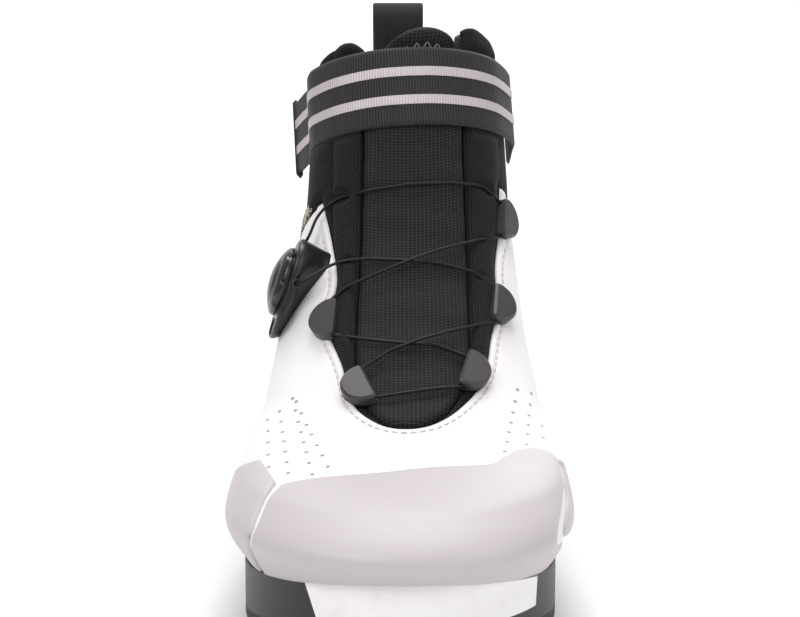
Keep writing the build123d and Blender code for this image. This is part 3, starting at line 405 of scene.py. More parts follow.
# ---------------------------------------------------------------- materials
class Paint:
    """Small builder of a procedural material."""

    def __init__(self, name, colour, roughness, **inputs):
        self.material = bpy.data.materials.new(name)
        self.material.use_nodes = True
        self.nodes = self.material.node_tree.nodes
        self.links = self.material.node_tree.links
        self.shader = self.nodes["Principled BSDF"]
        self.shader.inputs["Base Color"].default_value = (*colour, 1)
        self.shader.inputs["Roughness"].default_value = roughness
        for key, value in inputs.items():
            self.shader.inputs[key.replace("_", " ")].default_value = value
        self.normal = None

    def node(self, kind, **settings):
        made = self.nodes.new(kind)
        for key, value in settings.items():
            if key in made.inputs:
                made.inputs[key].default_value = value
            else:
                setattr(made, key.lower(), value)
        return made

    def join(self, source, target, socket):
        self.links.new(source, target.inputs[socket])
        return target

    def coordinate(self, output="UV"):
        return self.node("ShaderNodeTexCoord").outputs[output]

    def math(self, operation, first, second=None):
        made = self.node("ShaderNodeMath", operation=operation)
        for i, value in enumerate((first, second)):
            if isinstance(value, (int, float)):
                made.inputs[i].default_value = value
            elif value is not None:
                self.links.new(value, made.inputs[i])
        return made.outputs[0]

    def ribs(self, pitch, axis="X", sharp=1.0, tilt=0.0):
        """Ridges of a pitch in metres across a UV axis, from 0 to 1, leaning by tilt along the other."""
        split = self.join(self.coordinate(), self.node("ShaderNodeSeparateXYZ"), 0)
        across, other = ("X", "Y") if axis == "X" else ("Y", "X")
        place = split.outputs[across]
        if tilt:
            leaning = self.math("MULTIPLY", self.math("ABSOLUTE", split.outputs[other]), tilt)
            place = self.math("ADD", place, leaning)
        wave = self.math("SINE", self.math("MULTIPLY", place, 2 * np.pi / pitch))
        level_up = self.math("MULTIPLY", self.math("ADD", wave, 1.0), 0.5)
        return self.math("POWER", level_up, sharp)

    def speckle(self, size, detail=2.0, source="Object"):
        """Noise over features of a size in metres, from 0 to 1."""
        made = self.node("ShaderNodeTexNoise", Scale=1 / size, Detail=detail)
        self.links.new(self.coordinate(source), made.inputs["Vector"])
        return made.outputs["Fac"]

    def cells(self, size, source="Object"):
        made = self.node("ShaderNodeTexVoronoi", Scale=1 / size)
        self.links.new(self.coordinate(source), made.inputs["Vector"])
        return made.outputs["Distance"]

    def bump(self, height, strength, depth):
        """Raises the surface by depth in metres where height is 1."""
        made = self.node("ShaderNodeBump", Strength=strength, Distance=depth)
        self.links.new(height, made.inputs["Height"])
        if self.normal:
            self.links.new(self.normal, made.inputs["Normal"])
        self.normal = made.outputs["Normal"]
        self.links.new(self.normal, self.shader.inputs["Normal"])
        return self

    def shade(self, factor, low, high, socket="Base Color"):
        """Runs a colour or a value between low and high as factor goes from 0 to 1."""
        ramp = self.node("ShaderNodeValToRGB")
        self.links.new(factor, ramp.inputs["Fac"])
        for stop, value in zip(ramp.color_ramp.elements, (low, high)):
            stop.color = (*value, 1) if isinstance(value, tuple) else (value, value, value, 1)
        self.links.new(ramp.outputs["Color"], self.shader.inputs[socket])
        return self


def white_leather():
    paint = Paint("white_leather", (0.80, 0.775, 0.78), 0.52, Sheen_Weight=0.08, Specular_IOR_Level=0.42)
    paint.bump(paint.cells(0.0011), 0.22, 0.00006)
    paint.bump(paint.speckle(0.009, 3), 0.25, 0.0003)
    return paint.shade(paint.speckle(0.03, 3), (0.775, 0.75, 0.755), (0.825, 0.80, 0.805)).material


def grey_film():
    paint = Paint("grey_film", (0.53, 0.485, 0.485), 0.5, Coat_Weight=0.05, Coat_Roughness=0.35)
    paint.bump(paint.speckle(0.0016, 2), 0.12, 0.00005)
    paint.bump(paint.speckle(0.014, 2), 0.2, 0.0003)
    return paint.shade(paint.speckle(0.04, 2), (0.515, 0.47, 0.47), (0.545, 0.50, 0.50)).material


def grid_weave():
    sheen = {"Sheen_Weight": 0.04, "Sheen_Roughness": 0.4}
    paint = Paint("grid_weave", (0.012, 0.010, 0.011), 0.8, Specular_IOR_Level=0.25, **sheen)
    grid = paint.math("MAXIMUM", paint.ribs(0.0015, "X", 8), paint.ribs(0.0012, "Y", 8))
    grid = paint.math("MULTIPLY", grid, paint.math("ADD", paint.speckle(0.0025, 3), 0.25))
    thread = paint.math("MULTIPLY", paint.ribs(0.00063, "X", 1), paint.ribs(0.00063, "Y", 1))
    paint.bump(grid, 0.7, 0.00022)
    paint.bump(thread, 0.4, 0.00008)
    paint.bump(paint.speckle(0.012, 2), 0.4, 0.0007)
    return paint.shade(grid, (0.0055, 0.005, 0.0052), (0.045, 0.038, 0.041)).material


def ribbed_mesh():
    sheen = {"Sheen_Weight": 0.04, "Sheen_Roughness": 0.45}
    paint = Paint("ribbed_mesh", (0.012, 0.010, 0.011), 0.85, Specular_IOR_Level=0.2, **sheen)
    knit = paint.math("MULTIPLY", paint.ribs(0.0010, "Y", 1.8), paint.ribs(0.0009, "X", 0.8))
    knit = paint.math("MULTIPLY", knit, paint.math("ADD", paint.speckle(0.003, 3), 0.3))
    paint.bump(knit, 0.8, 0.0003)
    paint.bump(paint.speckle(0.010, 3), 0.6, 0.0012)
    return paint.shade(knit, (0.004, 0.0035, 0.004), (0.045, 0.038, 0.040)).material


def lining():
    paint = Paint("lining", (0.02, 0.02, 0.021), 0.85, Sheen_Weight=0.3, Sheen_Roughness=0.5)
    knit = paint.math("MULTIPLY", paint.ribs(0.0016, "Y", 1), paint.ribs(0.0016, "X", 1))
    paint.bump(knit, 0.6, 0.0003)
    return paint.shade(paint.speckle(0.004, 3), (0.012, 0.012, 0.013), (0.032, 0.031, 0.033)).material


def webbing(name, tilt, pitch):
    sheen = {"Sheen_Weight": 0.05, "Sheen_Roughness": 0.35}
    paint = Paint(name, (0.016, 0.014, 0.015), 0.62, Specular_IOR_Level=0.35, **sheen)
    ribs = paint.ribs(pitch, "X", 0.8, tilt)
    weft = paint.ribs(0.0007, "Y", 1)
    paint.bump(ribs, 0.9, 0.00025)
    paint.bump(weft, 0.3, 0.00008)
    # The colour is lighter on the tops of the ribs: a painted highlight.
    return paint.shade(ribs, (0.006, 0.005, 0.0055), (0.034, 0.030, 0.031)).material


def reflective():
    paint = Paint("reflective", (0.52, 0.46, 0.48), 0.42, Metallic=0.15)
    ribs = paint.ribs(0.0011, "X", 0.7)
    paint.bump(ribs, 0.7, 0.00016)
    paint.bump(paint.cells(0.0004), 0.3, 0.00004)
    return paint.shade(ribs, (0.42, 0.37, 0.385), (0.60, 0.54, 0.555)).material


def tape(name, colour):
    paint = Paint(name, colour, 0.9, Sheen_Weight=0.5, Sheen_Roughness=0.5)
    paint.bump(paint.cells(0.0007), 0.9, 0.0005)
    return paint.material


def speckled_patch():
    paint = Paint("speckled_patch", (0.3, 0.26, 0.18), 0.75, Sheen_Weight=0.2)
    weave = paint.math("MULTIPLY", paint.ribs(0.0012, "X", 1), paint.ribs(0.0012, "Y", 1))
    paint.bump(weave, 0.8, 0.0003)
    spots = paint.math("GREATER_THAN", paint.speckle(0.0011, 1), 0.5)
    return paint.shade(spots, (0.05, 0.042, 0.03), (0.50, 0.44, 0.33)).material


def moulded(name, colour, roughness=0.38, grain=0.0006):
    paint = Paint(name, colour, roughness, Specular_IOR_Level=0.5)
    paint.bump(paint.speckle(grain, 2), 0.15, 0.00005)
    lighter = tuple(c * 1.35 for c in colour)
    return paint.shade(paint.speckle(0.01, 3), colour, lighter).material


def rubber(name, colour):
    paint = Paint(name, colour, 0.72)
    paint.bump(paint.cells(0.0009), 0.3, 0.0001)
    paint.bump(paint.speckle(0.005, 3), 0.3, 0.0003)
    return paint.shade(paint.speckle(0.006, 4), colour, tuple(c * 1.8 for c in colour)).material


def steel():
    paint = Paint("steel", (0.55, 0.55, 0.56), 0.32, Metallic=1.0)
    paint.bump(paint.speckle(0.0008, 2), 0.2, 0.00004)
    return paint.shade(paint.speckle(0.003, 3), 0.24, 0.42, "Roughness").material


def coated_cable():
    paint = Paint("coated_cable", (0.004, 0.004, 0.004), 0.45, Specular_IOR_Level=0.3)
    paint.bump(paint.speckle(0.0004, 2), 0.4, 0.00008)
    return paint.shade(paint.speckle(0.002, 2), (0.003, 0.003, 0.0032), (0.008, 0.0075, 0.008)).material


def rough_white():
    paint = Paint("rough_white", (0.62, 0.60, 0.595), 0.7)
    paint.bump(paint.speckle(0.0012, 4), 0.6, 0.0004)
    paint.bump(paint.cells(0.003), 0.2, 0.0004)
    return paint.shade(paint.speckle(0.006, 4), (0.80, 0.77, 0.76), (0.95, 0.93, 0.92)).material


def thread(name, colour):
    paint = Paint(name, colour, 0.6, Sheen_Weight=0.2)
    paint.bump(paint.speckle(0.0005, 1), 0.5, 0.0001)
    return paint.shade(paint.speckle(0.001, 1), tuple(c * 0.8 for c in colour), colour).material


LEATHER, FILM, WEAVE, MESH, LINING = white_leather(), grey_film(), grid_weave(), ribbed_mesh(), lining()
# Both webbings carry a painted highlight on their ribs.
STRAP_WEB = webbing("strap_webbing", 0.0, 0.0011)
LOOP_WEB = webbing("loop_webbing", 3.0, 0.0030)
REFLECTIVE, PATCH_WEAVE = reflective(), speckled_patch()
HOOK_TAPE = tape("hook_tape", (0.01, 0.01, 0.01))
LOOP_TAPE = tape("loop_tape", (0.015, 0.015, 0.015))
DIAL_BLACK = moulded("dial_black", (0.011, 0.010, 0.011), 0.33)
KNOB_BLACK = moulded("knob_black", (0.009, 0.009, 0.010), 0.25)
GUIDE_GREY = moulded("guide_grey", (0.038, 0.034, 0.037), 0.36)
SOLE_BLACK = moulded("sole_black", (0.014, 0.013, 0.013), 0.5, 0.001)
TREAD_BLACK, STEEL, CABLE = rubber("tread_rubber", (0.012, 0.012, 0.012)), steel(), coated_cable()
BUMPER_WHITE = rough_white()
BOARD = moulded("board", (0.25, 0.22, 0.18), 0.8, 0.002)
WHITE_THREAD = thread("white_thread", (0.70, 0.64, 0.63))
GREY_THREAD = thread("grey_thread", (0.16, 0.15, 0.16))
# Grey of the perforations: painted shade standing for the dark insides of holes that are not cut.
HOLE_SHADE = moulded("painted_hole_shade", (0.27, 0.25, 0.25), 0.8)

# ---------------------------------------------------------------- making pieces
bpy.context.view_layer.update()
FINE = 1.0


def grid(count):
    return int(count * FINE) + 2


def settle(piece, body, slot, *nodes):
    """The piece moves with a body and stands for CAD nodes, which it hides. The slot argument is not used.
    """
    if nodes:
        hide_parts(*nodes)
    if body:
        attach(piece, body)
    return piece


def evenly(line, step):
    """Points along a polyline at equal steps."""
    run = np.concatenate([[0], np.cumsum(np.linalg.norm(np.diff(line, axis=0), axis=1))])
    at = np.linspace(0, run[-1], max(2, int(run[-1] / step) + 1))
    return np.stack([np.interp(at, run, line[:, k]) for k in range(line.shape[1])], axis=1)


def unit(v):
    return v / np.maximum(np.linalg.norm(v, axis=-1, keepdims=True), 1e-9)


def rings_of(ring_count, count, capped=False, first=0):
    """Faces that join rings of count points each, numbered on from first."""
    faces = []
    for i in range(ring_count - 1):
        a, b = first + i * count, first + (i + 1) * count
        faces += [[a + j, a + (j + 1) % count, b + (j + 1) % count, b + j] for j in range(count)]
    if capped:
        last = first + (ring_count - 1) * count
        faces.append([first + j for j in range(count)][::-1])
        faces.append([last + j for j in range(count)])
    return faces


RIBBON_ROWS = 25


def ribbon(name, line, outward, across, width, thickness, material):
    """Webbing along a line: outward points out of its face and across runs over its width."""
    a = np.linspace(-width / 2, width / 2, RIBBON_ROWS)
    height = thickness / 2 * edge_round(width / 2 - np.abs(a) + 0.02, 0.45 * thickness)
    ring_a = np.concatenate([a, a[::-1]])
    ring_h = np.concatenate([height, -height[::-1]])
    count = len(ring_a)
    outward, across = np.broadcast_to(outward, line.shape), np.broadcast_to(across, line.shape)
    aside, out = ring_a[None, :, None] * across[:, None], ring_h[None, :, None] * outward[:, None]
    points = line[:, None] + aside + out
    run = np.concatenate([[0], np.cumsum(np.linalg.norm(np.diff(line, axis=0), axis=1))])
    uv = np.stack(np.broadcast_arrays(run[:, None], ring_a[None, :]), axis=-1).reshape(-1, 2)
    return add_mesh(name, points.reshape(-1, 3), rings_of(len(line), count, capped=True), uv, material)


STITCH_H = 0.45


def stitches(name, places, length, width, material):
    """Rounded stitches, each at a place (centre, direction, outward), all in one mesh."""
    around, along = 8, 5
    points, faces = [], []
    for centre, direction, outward in places:
        side = unit(np.cross(direction, outward))
        start = len(points)
        for i in range(along):
            turn = np.pi * i / (along - 1)
            reach = -np.cos(turn) * length / 2
            swell = max(np.sin(turn), 0.25) ** 0.5
            for j in range(around):
                a = 2 * np.pi * j / around
                offset = side * np.cos(a) * width / 2 * swell + outward * np.sin(a) * STITCH_H / 2 * swell
                points.append(centre + direction * reach + offset)
        faces += rings_of(along, around, capped=True, first=start)
    return add_mesh(name, points, faces, None, material)


def discs(name, places, radius, material):
    """Small round patches, each at a place (centre, outward)."""
    points, faces, count = [], [], 12
    for centre, outward in places:
        side = unit(np.cross(outward, (0.0, 0.1, 1.0)))
        other = np.cross(outward, side)
        start = len(points)
        for j in range(count):
            a = 2 * np.pi * j / count
            points.append(centre + side * np.cos(a) * radius + other * np.sin(a) * radius)
        faces.append(list(range(start, start + count)))
    return add_mesh(name, points, faces, None, material)


def on_instep(x, v):
    """Skin coordinates (q, z) of places seen at (x, v) on the instep."""
    z = height_where(x, lambda p: instep_view(p)[:, 1], v)
    return q_of(x, z), z


# ---------------------------------------------------------------- upper and its films
STITCH_IN = 2.6
BALL_STATION = 74.0


def upper_relief(p):
    """Height of the upper's outside over the skin."""
    throat = np.abs(in_throat(p))
    groove = -0.28 * np.exp(-(((throat - STITCH_IN) / 0.55) ** 2))
    roll = 0.30 * np.exp(-(((throat - 1.2) / 0.8) ** 2))
    ball = np.exp(-(((station(p) - BALL_STATION) / 16) ** 2)) * soft_step((p[:, 2] - 40) / 10)
    stretched = np.stack([p[:, 0] * 0.25, p[:, 1] * 2.2, p[:, 2]], axis=1)
    return groove + roll + 0.3 * wander(stretched, 14) * ball + 0.2 * wander(p, 26, 3)


def above_upper_feather(p):
    return above_feather(p) + 0.2


upper_patch = Patch(-2, 2, 18.5, 150, grid(620), grid(210))
upper_border = cut(upper_patch, above_upper_feather, beside_throat, below_quarter)
upper_out = upper_relief(upper_patch.points())
upper = pillow("upper", upper_patch, upper_out, -1.7, upper_border, 1.3, LEATHER)
settle(upper, "boot", "white_leather", "upper_shell")

CAP_STEP = ((25, 50), (31, 57), (38, 67), (46, 72), (50, 70))
CAP_LINE = smooth_line(((-37.5, 40.5), (-30, 41), (-10, 41.5), (5, 44.5), *CAP_STEP))
CAP_MEDIAL = ((50, 55), (48, 42), (45, 28), (58, 12))
CAP_LATERAL = ((-56, 12), (-43.5, 26), (-41, 34))
CAP = np.vstack([CAP_LINE, CAP_MEDIAL, ((58, -20), (-56, -20)), CAP_LATERAL])
LATERAL_FRONT = ((-80, 12), (-57, 13.5), (-44.8, 26.8), (-42.4, 34.8), (-39.2, 42.8))
LATERAL_PLAN = np.array((*LATERAL_FRONT, (-46, 64), (-42, 175), (-80, 175)))
RAND_BACK = ((125, 36), (168, 26))
LATERAL_RAND_TOP = smooth_line(((-10, 70), (58, 62), (64, 51.5), (75, 46.5), (95, 41.5), *RAND_BACK))
MEDIAL_FRONT = ((51.2, 71), (51.2, 55), (49.2, 42), (46.2, 28.4), (59, 13))
MEDIAL_PLAN = np.array((*MEDIAL_FRONT, (80, 13), (80, 175), (40, 175), (48, 76)))
MEDIAL_RAND_TOP = smooth_line(((-10, 60), (66, 56), (74, 49), (100, 42), (130, 36), (168, 26)))
COUNTER = np.array(((238, 0), (230, 26), (236, 44), (262, 66), (284, 84), (310, 88), (310, 0)))


def inside_plan(polygon):
    return lambda p: signed_distance(plan_view(p), polygon)


def inside_side(polygon):
    return lambda p: signed_distance(side_view(p), polygon)


def under_line(line):
    return inside_side(np.vstack([line, ((line[-1][0], -50), (line[0][0], -50))]))


def film(node, patch, *measures):
    """Smooth film over part of the upper, with rounded edges."""
    border = cut(patch, *measures, above_feather)
    outside = 1.15 + 0.12 * wander(patch.points(), 22, 5)
    piece = pillow(node + "_film", patch, outside, -0.1, border, 1.4, FILM, seat=0)
    return settle(piece, "boot", "grey_film", node)


film("toe_cap", Patch(-0.95, 0.95, 18.5, 58, grid(300), grid(110)), inside_plan(CAP))
side_films = (
    ("lateral_rand", -1.6, -0.3, LATERAL_PLAN, LATERAL_RAND_TOP),
    ("medial_rand", 0.3, 1.6, MEDIAL_PLAN, MEDIAL_RAND_TOP),
)
for node, q_from, q_to, plan, top_line in side_films:
    film(node, Patch(q_from, q_to, 18.5, 56, grid(170), grid(70)), inside_plan(plan), under_line(top_line))
film("heel_counter", Patch(1.3, 2.7, 18.5, 92, grid(220), grid(80)), inside_side(COUNTER))

# Rows of small perforations on both quarters, each from one place (x, v on the instep) to another. The
# holes are grey discs laid on the leather: painted shade in place of real holes.
HOLE_ROWS = (
    ((-19.4, 59), (-37, 112), 9),
    ((-27, 62), (-38.4, 114), 9),
    ((-35, 64), (-42.7, 109), 8),
    ((-42, 68), (-46.7, 106), 6),
    ((30.9, 76), (39.7, 119), 8),
    ((39, 82), (44.9, 120), 7),
    ((45.8, 87), (47, 103), 3),
)
HOLE_R = 0.72


def instep_places(rows):
    """Centre and outward direction of every place of rows ((x, v), (x, v), count) on the upper."""
    xs = np.concatenate([np.linspace(a[0], b[0], count) for a, b, count in rows])
    vs = np.concatenate([np.linspace(a[1], b[1], count) for a, b, count in rows])
    q, z = on_instep(xs, vs)
    lift = upper_relief(skin(q, z)) + 0.05
    return list(zip(skin(q, z, lift), skin_normal(q, z)))


settle(discs("perforations", instep_places(HOLE_ROWS), HOLE_R, HOLE_SHADE), "boot", "white_leather")


# Stitches round the throat, a little way out from its edge.
edge = evenly(THROAT_EDGE, 0.5)
edge_along = unit(np.gradient(edge, axis=0))
outwards = np.stack([edge_along[:, 1], -edge_along[:, 0]], axis=1) * STITCH_IN
seam = evenly(edge + outwards, 3.1)
seam = seam[(seam[:, 1] < 186) & (np.abs(seam[:, 0]) < 44)]
seam_q, seam_z = on_instep(seam[:, 0], seam[:, 1])
showing = above_quarter(skin(seam_q, seam_z)) < -1.5
seam_q, seam_z = seam_q[showing], seam_z[showing]
seam_points = skin(seam_q, seam_z, 0.02)
throat_places = list(zip(seam_points, unit(np.gradient(seam_points, axis=0)), skin_normal(seam_q, seam_z)))
settle(stitches("throat_stitches", throat_places, 2.1, 0.6, WHITE_THREAD), "boot", "white_leather")

# ---------------------------------------------------------------- cuff, bootie and tongue
LACE_REACH, LACE_CLEAR = 6.5, 0.12
lace_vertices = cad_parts["lace_cable"].data.vertices
lace_tree = KDTree(len(lace_vertices))
for number, vertex in enumerate(lace_vertices):
    lace_tree.insert(vertex.co / MM, number)
lace_tree.balance()


def under_lace(corners, lift):
    """Lifts over the skin, pressed down wherever the lace lies over them."""
    base, normal = skin(corners[:, 0], corners[:, 1]), skin_normal(corners[:, 0], corners[:, 1])
    out = np.array(lift, float)
    for i, (p, n) in enumerate(zip(base, normal)):
        near = lace_tree.find_range(Vector(p), LACE_REACH)
        if near:
            away = np.array([co for co, _, _ in near]) - p
            rise = away @ n
            aside = (away**2).sum(axis=1) - rise**2
            out[i] = min(out[i], (rise - LACE_CLEAR + 0.16 * aside).min())
    return out


STRAP_ORIGIN = np.array((0.0, 13.0, 171.8))
STRAP_LEAN, STRAP_ROLL = 0.296, 0.063
STRAP_W, STRAP_T, STRAP_CLEAR = 30.5, 1.7, 1.2
strap_up = unit(np.array((-STRAP_ROLL, STRAP_LEAN, 1.0)))
strap_x = unit(np.array((1.0, 0.0, STRAP_ROLL)))
strap_y = np.cross(strap_up, strap_x)


def over_strap(p):
    """Distance above or below the middle plane of the strap."""
    return (p - STRAP_ORIGIN) @ strap_up


# Rolls of the cuff beside the tongue: middle and half width in x, and how far they stand out.
ROLLS = ((-31.6, 4.9, 2.3), (-21.2, 5.4, 2.6), (30.4, 6.6, 2.6))
PRESSED = 0.35


def cuff_relief(p):
    outside = np.maximum(in_throat(p), above_quarter(p))
    front = soft_step((190 - station(p)) / 14)
    bulge = np.zeros(len(p))
    for middle, half, height in ROLLS:
        bulge = np.maximum(bulge, height * np.sqrt(np.clip(1 - ((p[:, 0] - middle) / half) ** 2, 0, 1)))
    swell = 0.4 + 1.1 * soft_step((p[:, 2] - 150) / 30) + 0.35 * wander(p, 15, 9)
    raised = front * (bulge - 0.5) + (1 - front) * swell
    away = np.abs(over_strap(p)) - STRAP_W / 2
    pressed = 1 - soft_step(away / 5)
    raised = raised * (1 - pressed) + PRESSED * pressed
    return -2.2 + (raised + 2.2) * edge_round(outside, 5)


def beside_tongue(p):
    return -in_tongue(p) - 0.3


CUFF_TUCK = smooth_line(((64, 53), (110, 62), (150, 78), (205, 82), (240, 86), (262, 92), (310, 92)))


def above_tuck(p):
    return p[:, 2] - np.interp(station(p), CUFF_TUCK[:, 0], CUFF_TUCK[:, 1])


cuff_patch = Patch(-2, 2, 52, 199, grid(460), grid(260))
cuff_border = cut(cuff_patch, above_tuck, beside_tongue, below_collar)
cuff_out = under_lace(cuff_patch.corners, cuff_relief(cuff_patch.points()))
cuff = pillow("cuff", cuff_patch, cuff_out, -3.5, cuff_border, 3.2, MESH)
settle(cuff, "boot", "black_fabric", "ankle_cuff", "collar_band")

BOARD_T = 2.0
BOOTIE_DROP = 1.0


def above_board(p):
    return above_feather(p) - BOARD_T


def below_bootie_top(p):
    return below_collar(p) - BOOTIE_DROP


bootie_patch = Patch(-2, 2, 18.5, 198, grid(300), grid(200))
bootie_patch.keep(above_board)
bootie_border = cut(bootie_patch, beside_tongue, below_bootie_top)
bootie = pillow("bootie_lining", bootie_patch, -3.7, -6.6, bootie_border, 1.5, LINING)
settle(bootie, "boot", "lining_fabric", "bootie")


def below_tongue_top(p):
    return np.interp(p[:, 0], TONGUE_TOP[:, 0], TONGUE_TOP[:, 1]) - p[:, 2]


def tongue_relief(p):
    v = instep_view(p)[:, 1]
    creases = 0.32 * np.sin(v / 2.9 + 1.3 * wander(p, 20, 4)) * soft_step((v - 100) / 20)
    padding = 2.4 * soft_step((p[:, 2] - 186) / 6)
    away = np.abs(over_strap(p)) - STRAP_W / 2
    pressed = 1 - soft_step(away / 4)
    free = 0.1 + creases + padding
    return free * (1 - pressed) + 0.2 * pressed


tongue_patch = Patch(-0.62, 0.72, 52, 198, grid(220), grid(330))
tongue_border = cut(tongue_patch, in_tongue, below_tongue_top)
tongue_out = under_lace(tongue_patch.corners, tongue_relief(tongue_patch.points()))
tongue = pillow("tongue_pad", tongue_patch, tongue_out, -6.6, tongue_border, 3.0, WEAVE)
settle(tongue, "boot", "black_fabric", "tongue")

# Zigzag stitches over the top edge of the tongue.
ZIG_LOW, ZIG_HIGH, ZIG_STEP = 9.4, 6.2, 1.9
zig = evenly(TONGUE_TOP[(TONGUE_TOP[:, 0] > -4) & (TONGUE_TOP[:, 0] < 21)], ZIG_STEP)
drops = np.where(np.arange(len(zig)) % 2 == 0, ZIG_LOW, ZIG_HIGH)
zig_q, zig_z = q_of(zig[:, 0], zig[:, 1] - drops), zig[:, 1] - drops
zig_base = skin(zig_q, zig_z)
sunk = tongue_relief(zig_base)
rise = edge_round(np.minimum(in_tongue(zig_base), below_tongue_top(zig_base)), 3.0)
middle = (sunk - 6.6) / 2
zig_points = skin(zig_q, zig_z, middle + (sunk - middle) * rise + 0.1)
zig_normals = skin_normal(zig_q, zig_z)
zig_places = []
for a, b, n in zip(zig_points[:-1], zig_points[1:], zig_normals):
    zig_places.append(((a + b) / 2, unit(b - a), n))
settle(stitches("tongue_stitches", zig_places, 3.6, 0.7, GREY_THREAD), "boot", "black_fabric")

PATCH_SIDE = np.array(((163.6, 126.6), (168.0, 129.0), (182, 113), (176, 110.6)))
weave_patch = Patch(-1.2, -0.5, 100, 140, grid(160), grid(110))
weave_border = cut(weave_patch, inside_side(PATCH_SIDE))
side_patch = pillow("side_patch", weave_patch, 0.5, -1.8, weave_border, 1.0, PATCH_WEAVE)
settle(side_patch, "boot", "patch_fabric", "cuff_patch")

TAPE_SIDE = np.array(((204, 145.6), (222, 144), (222, 170), (204, 173.6)))
tape_patch = Patch(-1.6, -1.0, 140, 178, grid(90), grid(90))
tape_border = cut(tape_patch, inside_side(TAPE_SIDE))
loop_tape = pillow("loop_tape", tape_patch, 0.6, -0.8, tape_border, 0.6, LOOP_TAPE)
settle(loop_tape, "boot", "black_fabric", "strap_loop")

# Insole: a shallow dish inside the bootie.
INSOLE_IN, INSOLE_Z, INSOLE_T = 7.2, 26.0, 3.6
ring_q = np.linspace(-2, 2, grid(120), endpoint=False)
insole_rim = skin(ring_q, np.full(len(ring_q), 28.0), -INSOLE_IN)
spine = np.stack([np.zeros(len(ring_q)), np.clip(insole_rim[:, 1], -105, 115)], axis=1)
dish = []
for share in np.linspace(1, 0, 14):
    plan = spine + (insole_rim[:, :2] - spine) * share
    spring = np.interp(plan[:, 1] + TOE_TO_ORIGIN, FEATHER[:, 0], FEATHER[:, 1]) - 19.5
    dish.append(np.column_stack([plan, spring + INSOLE_Z + 2.5 * share**5]))
insole_rings = [dish[0] - (0, 0, INSOLE_T), *dish]
insole_faces = rings_of(len(insole_rings), len(ring_q))
insole_faces.append(list(range(len(ring_q))))
insole_points = np.vstack(insole_rings)
insole = add_mesh("insole_pad", insole_points, insole_faces, insole_points[:, :2], LINING)
settle(insole, "boot", "lining_fabric", "insole")

# ---------------------------------------------------------------- strap
STRAP_LATERAL = (0.965, 0.86, 0.68, 0.43, 0.15)
STRAP_MEDIAL = (0.2, 0.45, 0.68, 0.86, 0.965)
STRAP_ROOT_X, STRAP_SEAM, STRAP_SEAM_GAP, ANCHOR_END = 40.6, 37.0, 3.0, 66.5
HINGE_Y, FOLD = STRAP_SEAM + STRAP_SEAM_GAP / 2, np.array((1.0, 3.0, 0.0))


def strap_point(side, share, lift):
    """Point of the strap's plane above the skin, in the plane's own coordinates."""
    q = side * np.arcsin(share) * 2 / np.pi
    z = STRAP_ORIGIN[2]
    for _ in range(6):
        p = skin(q, z)[0]
        z = STRAP_ORIGIN[2] + STRAP_ROLL * p[0] - STRAP_LEAN * (p[1] - STRAP_ORIGIN[1])
    local = skin(q, z, lift)[0] - STRAP_ORIGIN
    return (local @ strap_x, local @ strap_y)


def strap_line(lift):
    lateral_end = [(-43.0 - lift, 60.0), (-38.8 - lift, 48.0), (-36.2 - lift, 40.5)]
    lateral = [strap_point(-1, share, lift) for share in STRAP_LATERAL]
    medial = [strap_point(1, share, lift) for share in STRAP_MEDIAL]
    return lateral_end + lateral + medial + [(STRAP_ROOT_X + lift, STRAP_SEAM)]


def in_strap_plane(points_2d, up=0.0):
    xy = np.asarray(points_2d, float)
    return STRAP_ORIGIN + xy[:, :1] * strap_x + xy[:, 1:] * strap_y + up * strap_up


def strap_ribbon(name, thickness, width, up, line_2d, material):
    """Ribbon in the strap's plane, at a height up from its middle."""
    flat = evenly(smooth_line(line_2d, 12), 1.0 if FINE == 1 else 2.5)
    along = unit(np.gradient(flat, axis=0))
    outward = along[:, 1:] * strap_x - along[:, :1] * strap_y
    line = in_strap_plane(flat, up)
    return ribbon(name, line, outward, strap_up, width, thickness, material)


MIDDLE = STRAP_CLEAR + STRAP_T / 2
strap_path = strap_line(MIDDLE) + [(STRAP_ROOT_X + MIDDLE, y) for y in (50.0, 58.0, ANCHOR_END)]
strap = strap_ribbon("strap_webbing", STRAP_T, STRAP_W, 0.0, strap_path, STRAP_WEB)
settle(strap, None, "webbing", "ankle_strap", "strap_anchor")
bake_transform(strap)

STRIPE_LIFT = STRAP_CLEAR + STRAP_T + 0.2
stripe_line = strap_line(STRIPE_LIFT)[:-1] + [(STRAP_ROOT_X + STRIPE_LIFT, HINGE_Y - FOLD[1])]
for number, (up, nodes) in enumerate(((-5.4, ("reflective_stripes",)), (5.6, ()))):
    stripe = strap_ribbon(f"strap_stripe_{number}", 0.3, 3.6, up, stripe_line, REFLECTIVE)
    settle(stripe, "strap", "reflective", *nodes)

tab_at = strap_line(MIDDLE)[0]
TAB_L, TAB_T, TAB_H = 3.6, 2.7, 33.0
tab_path = [(tab_at[0] - 0.3, tab_at[1] + step) for step in np.linspace(-0.6, TAB_L, 8)]
end_tab = strap_ribbon("strap_end_tab", TAB_T, TAB_H, 0.0, tab_path, STRAP_WEB)
settle(end_tab, "strap", "webbing", "strap_tab")

HOOK_T, HOOK_W = 0.7, 24
hook_from, hook_to = np.array(strap_line(STRAP_CLEAR - 0.1 - HOOK_T / 2)[:2])
hook_path = [hook_from * (1 - t) + hook_to * t for t in (0, 0.5, 0.9)]
hook = strap_ribbon("hook_tape", HOOK_T, HOOK_W, 0.0, hook_path, HOOK_TAPE)
settle(hook, "strap", "webbing", "strap_hook")

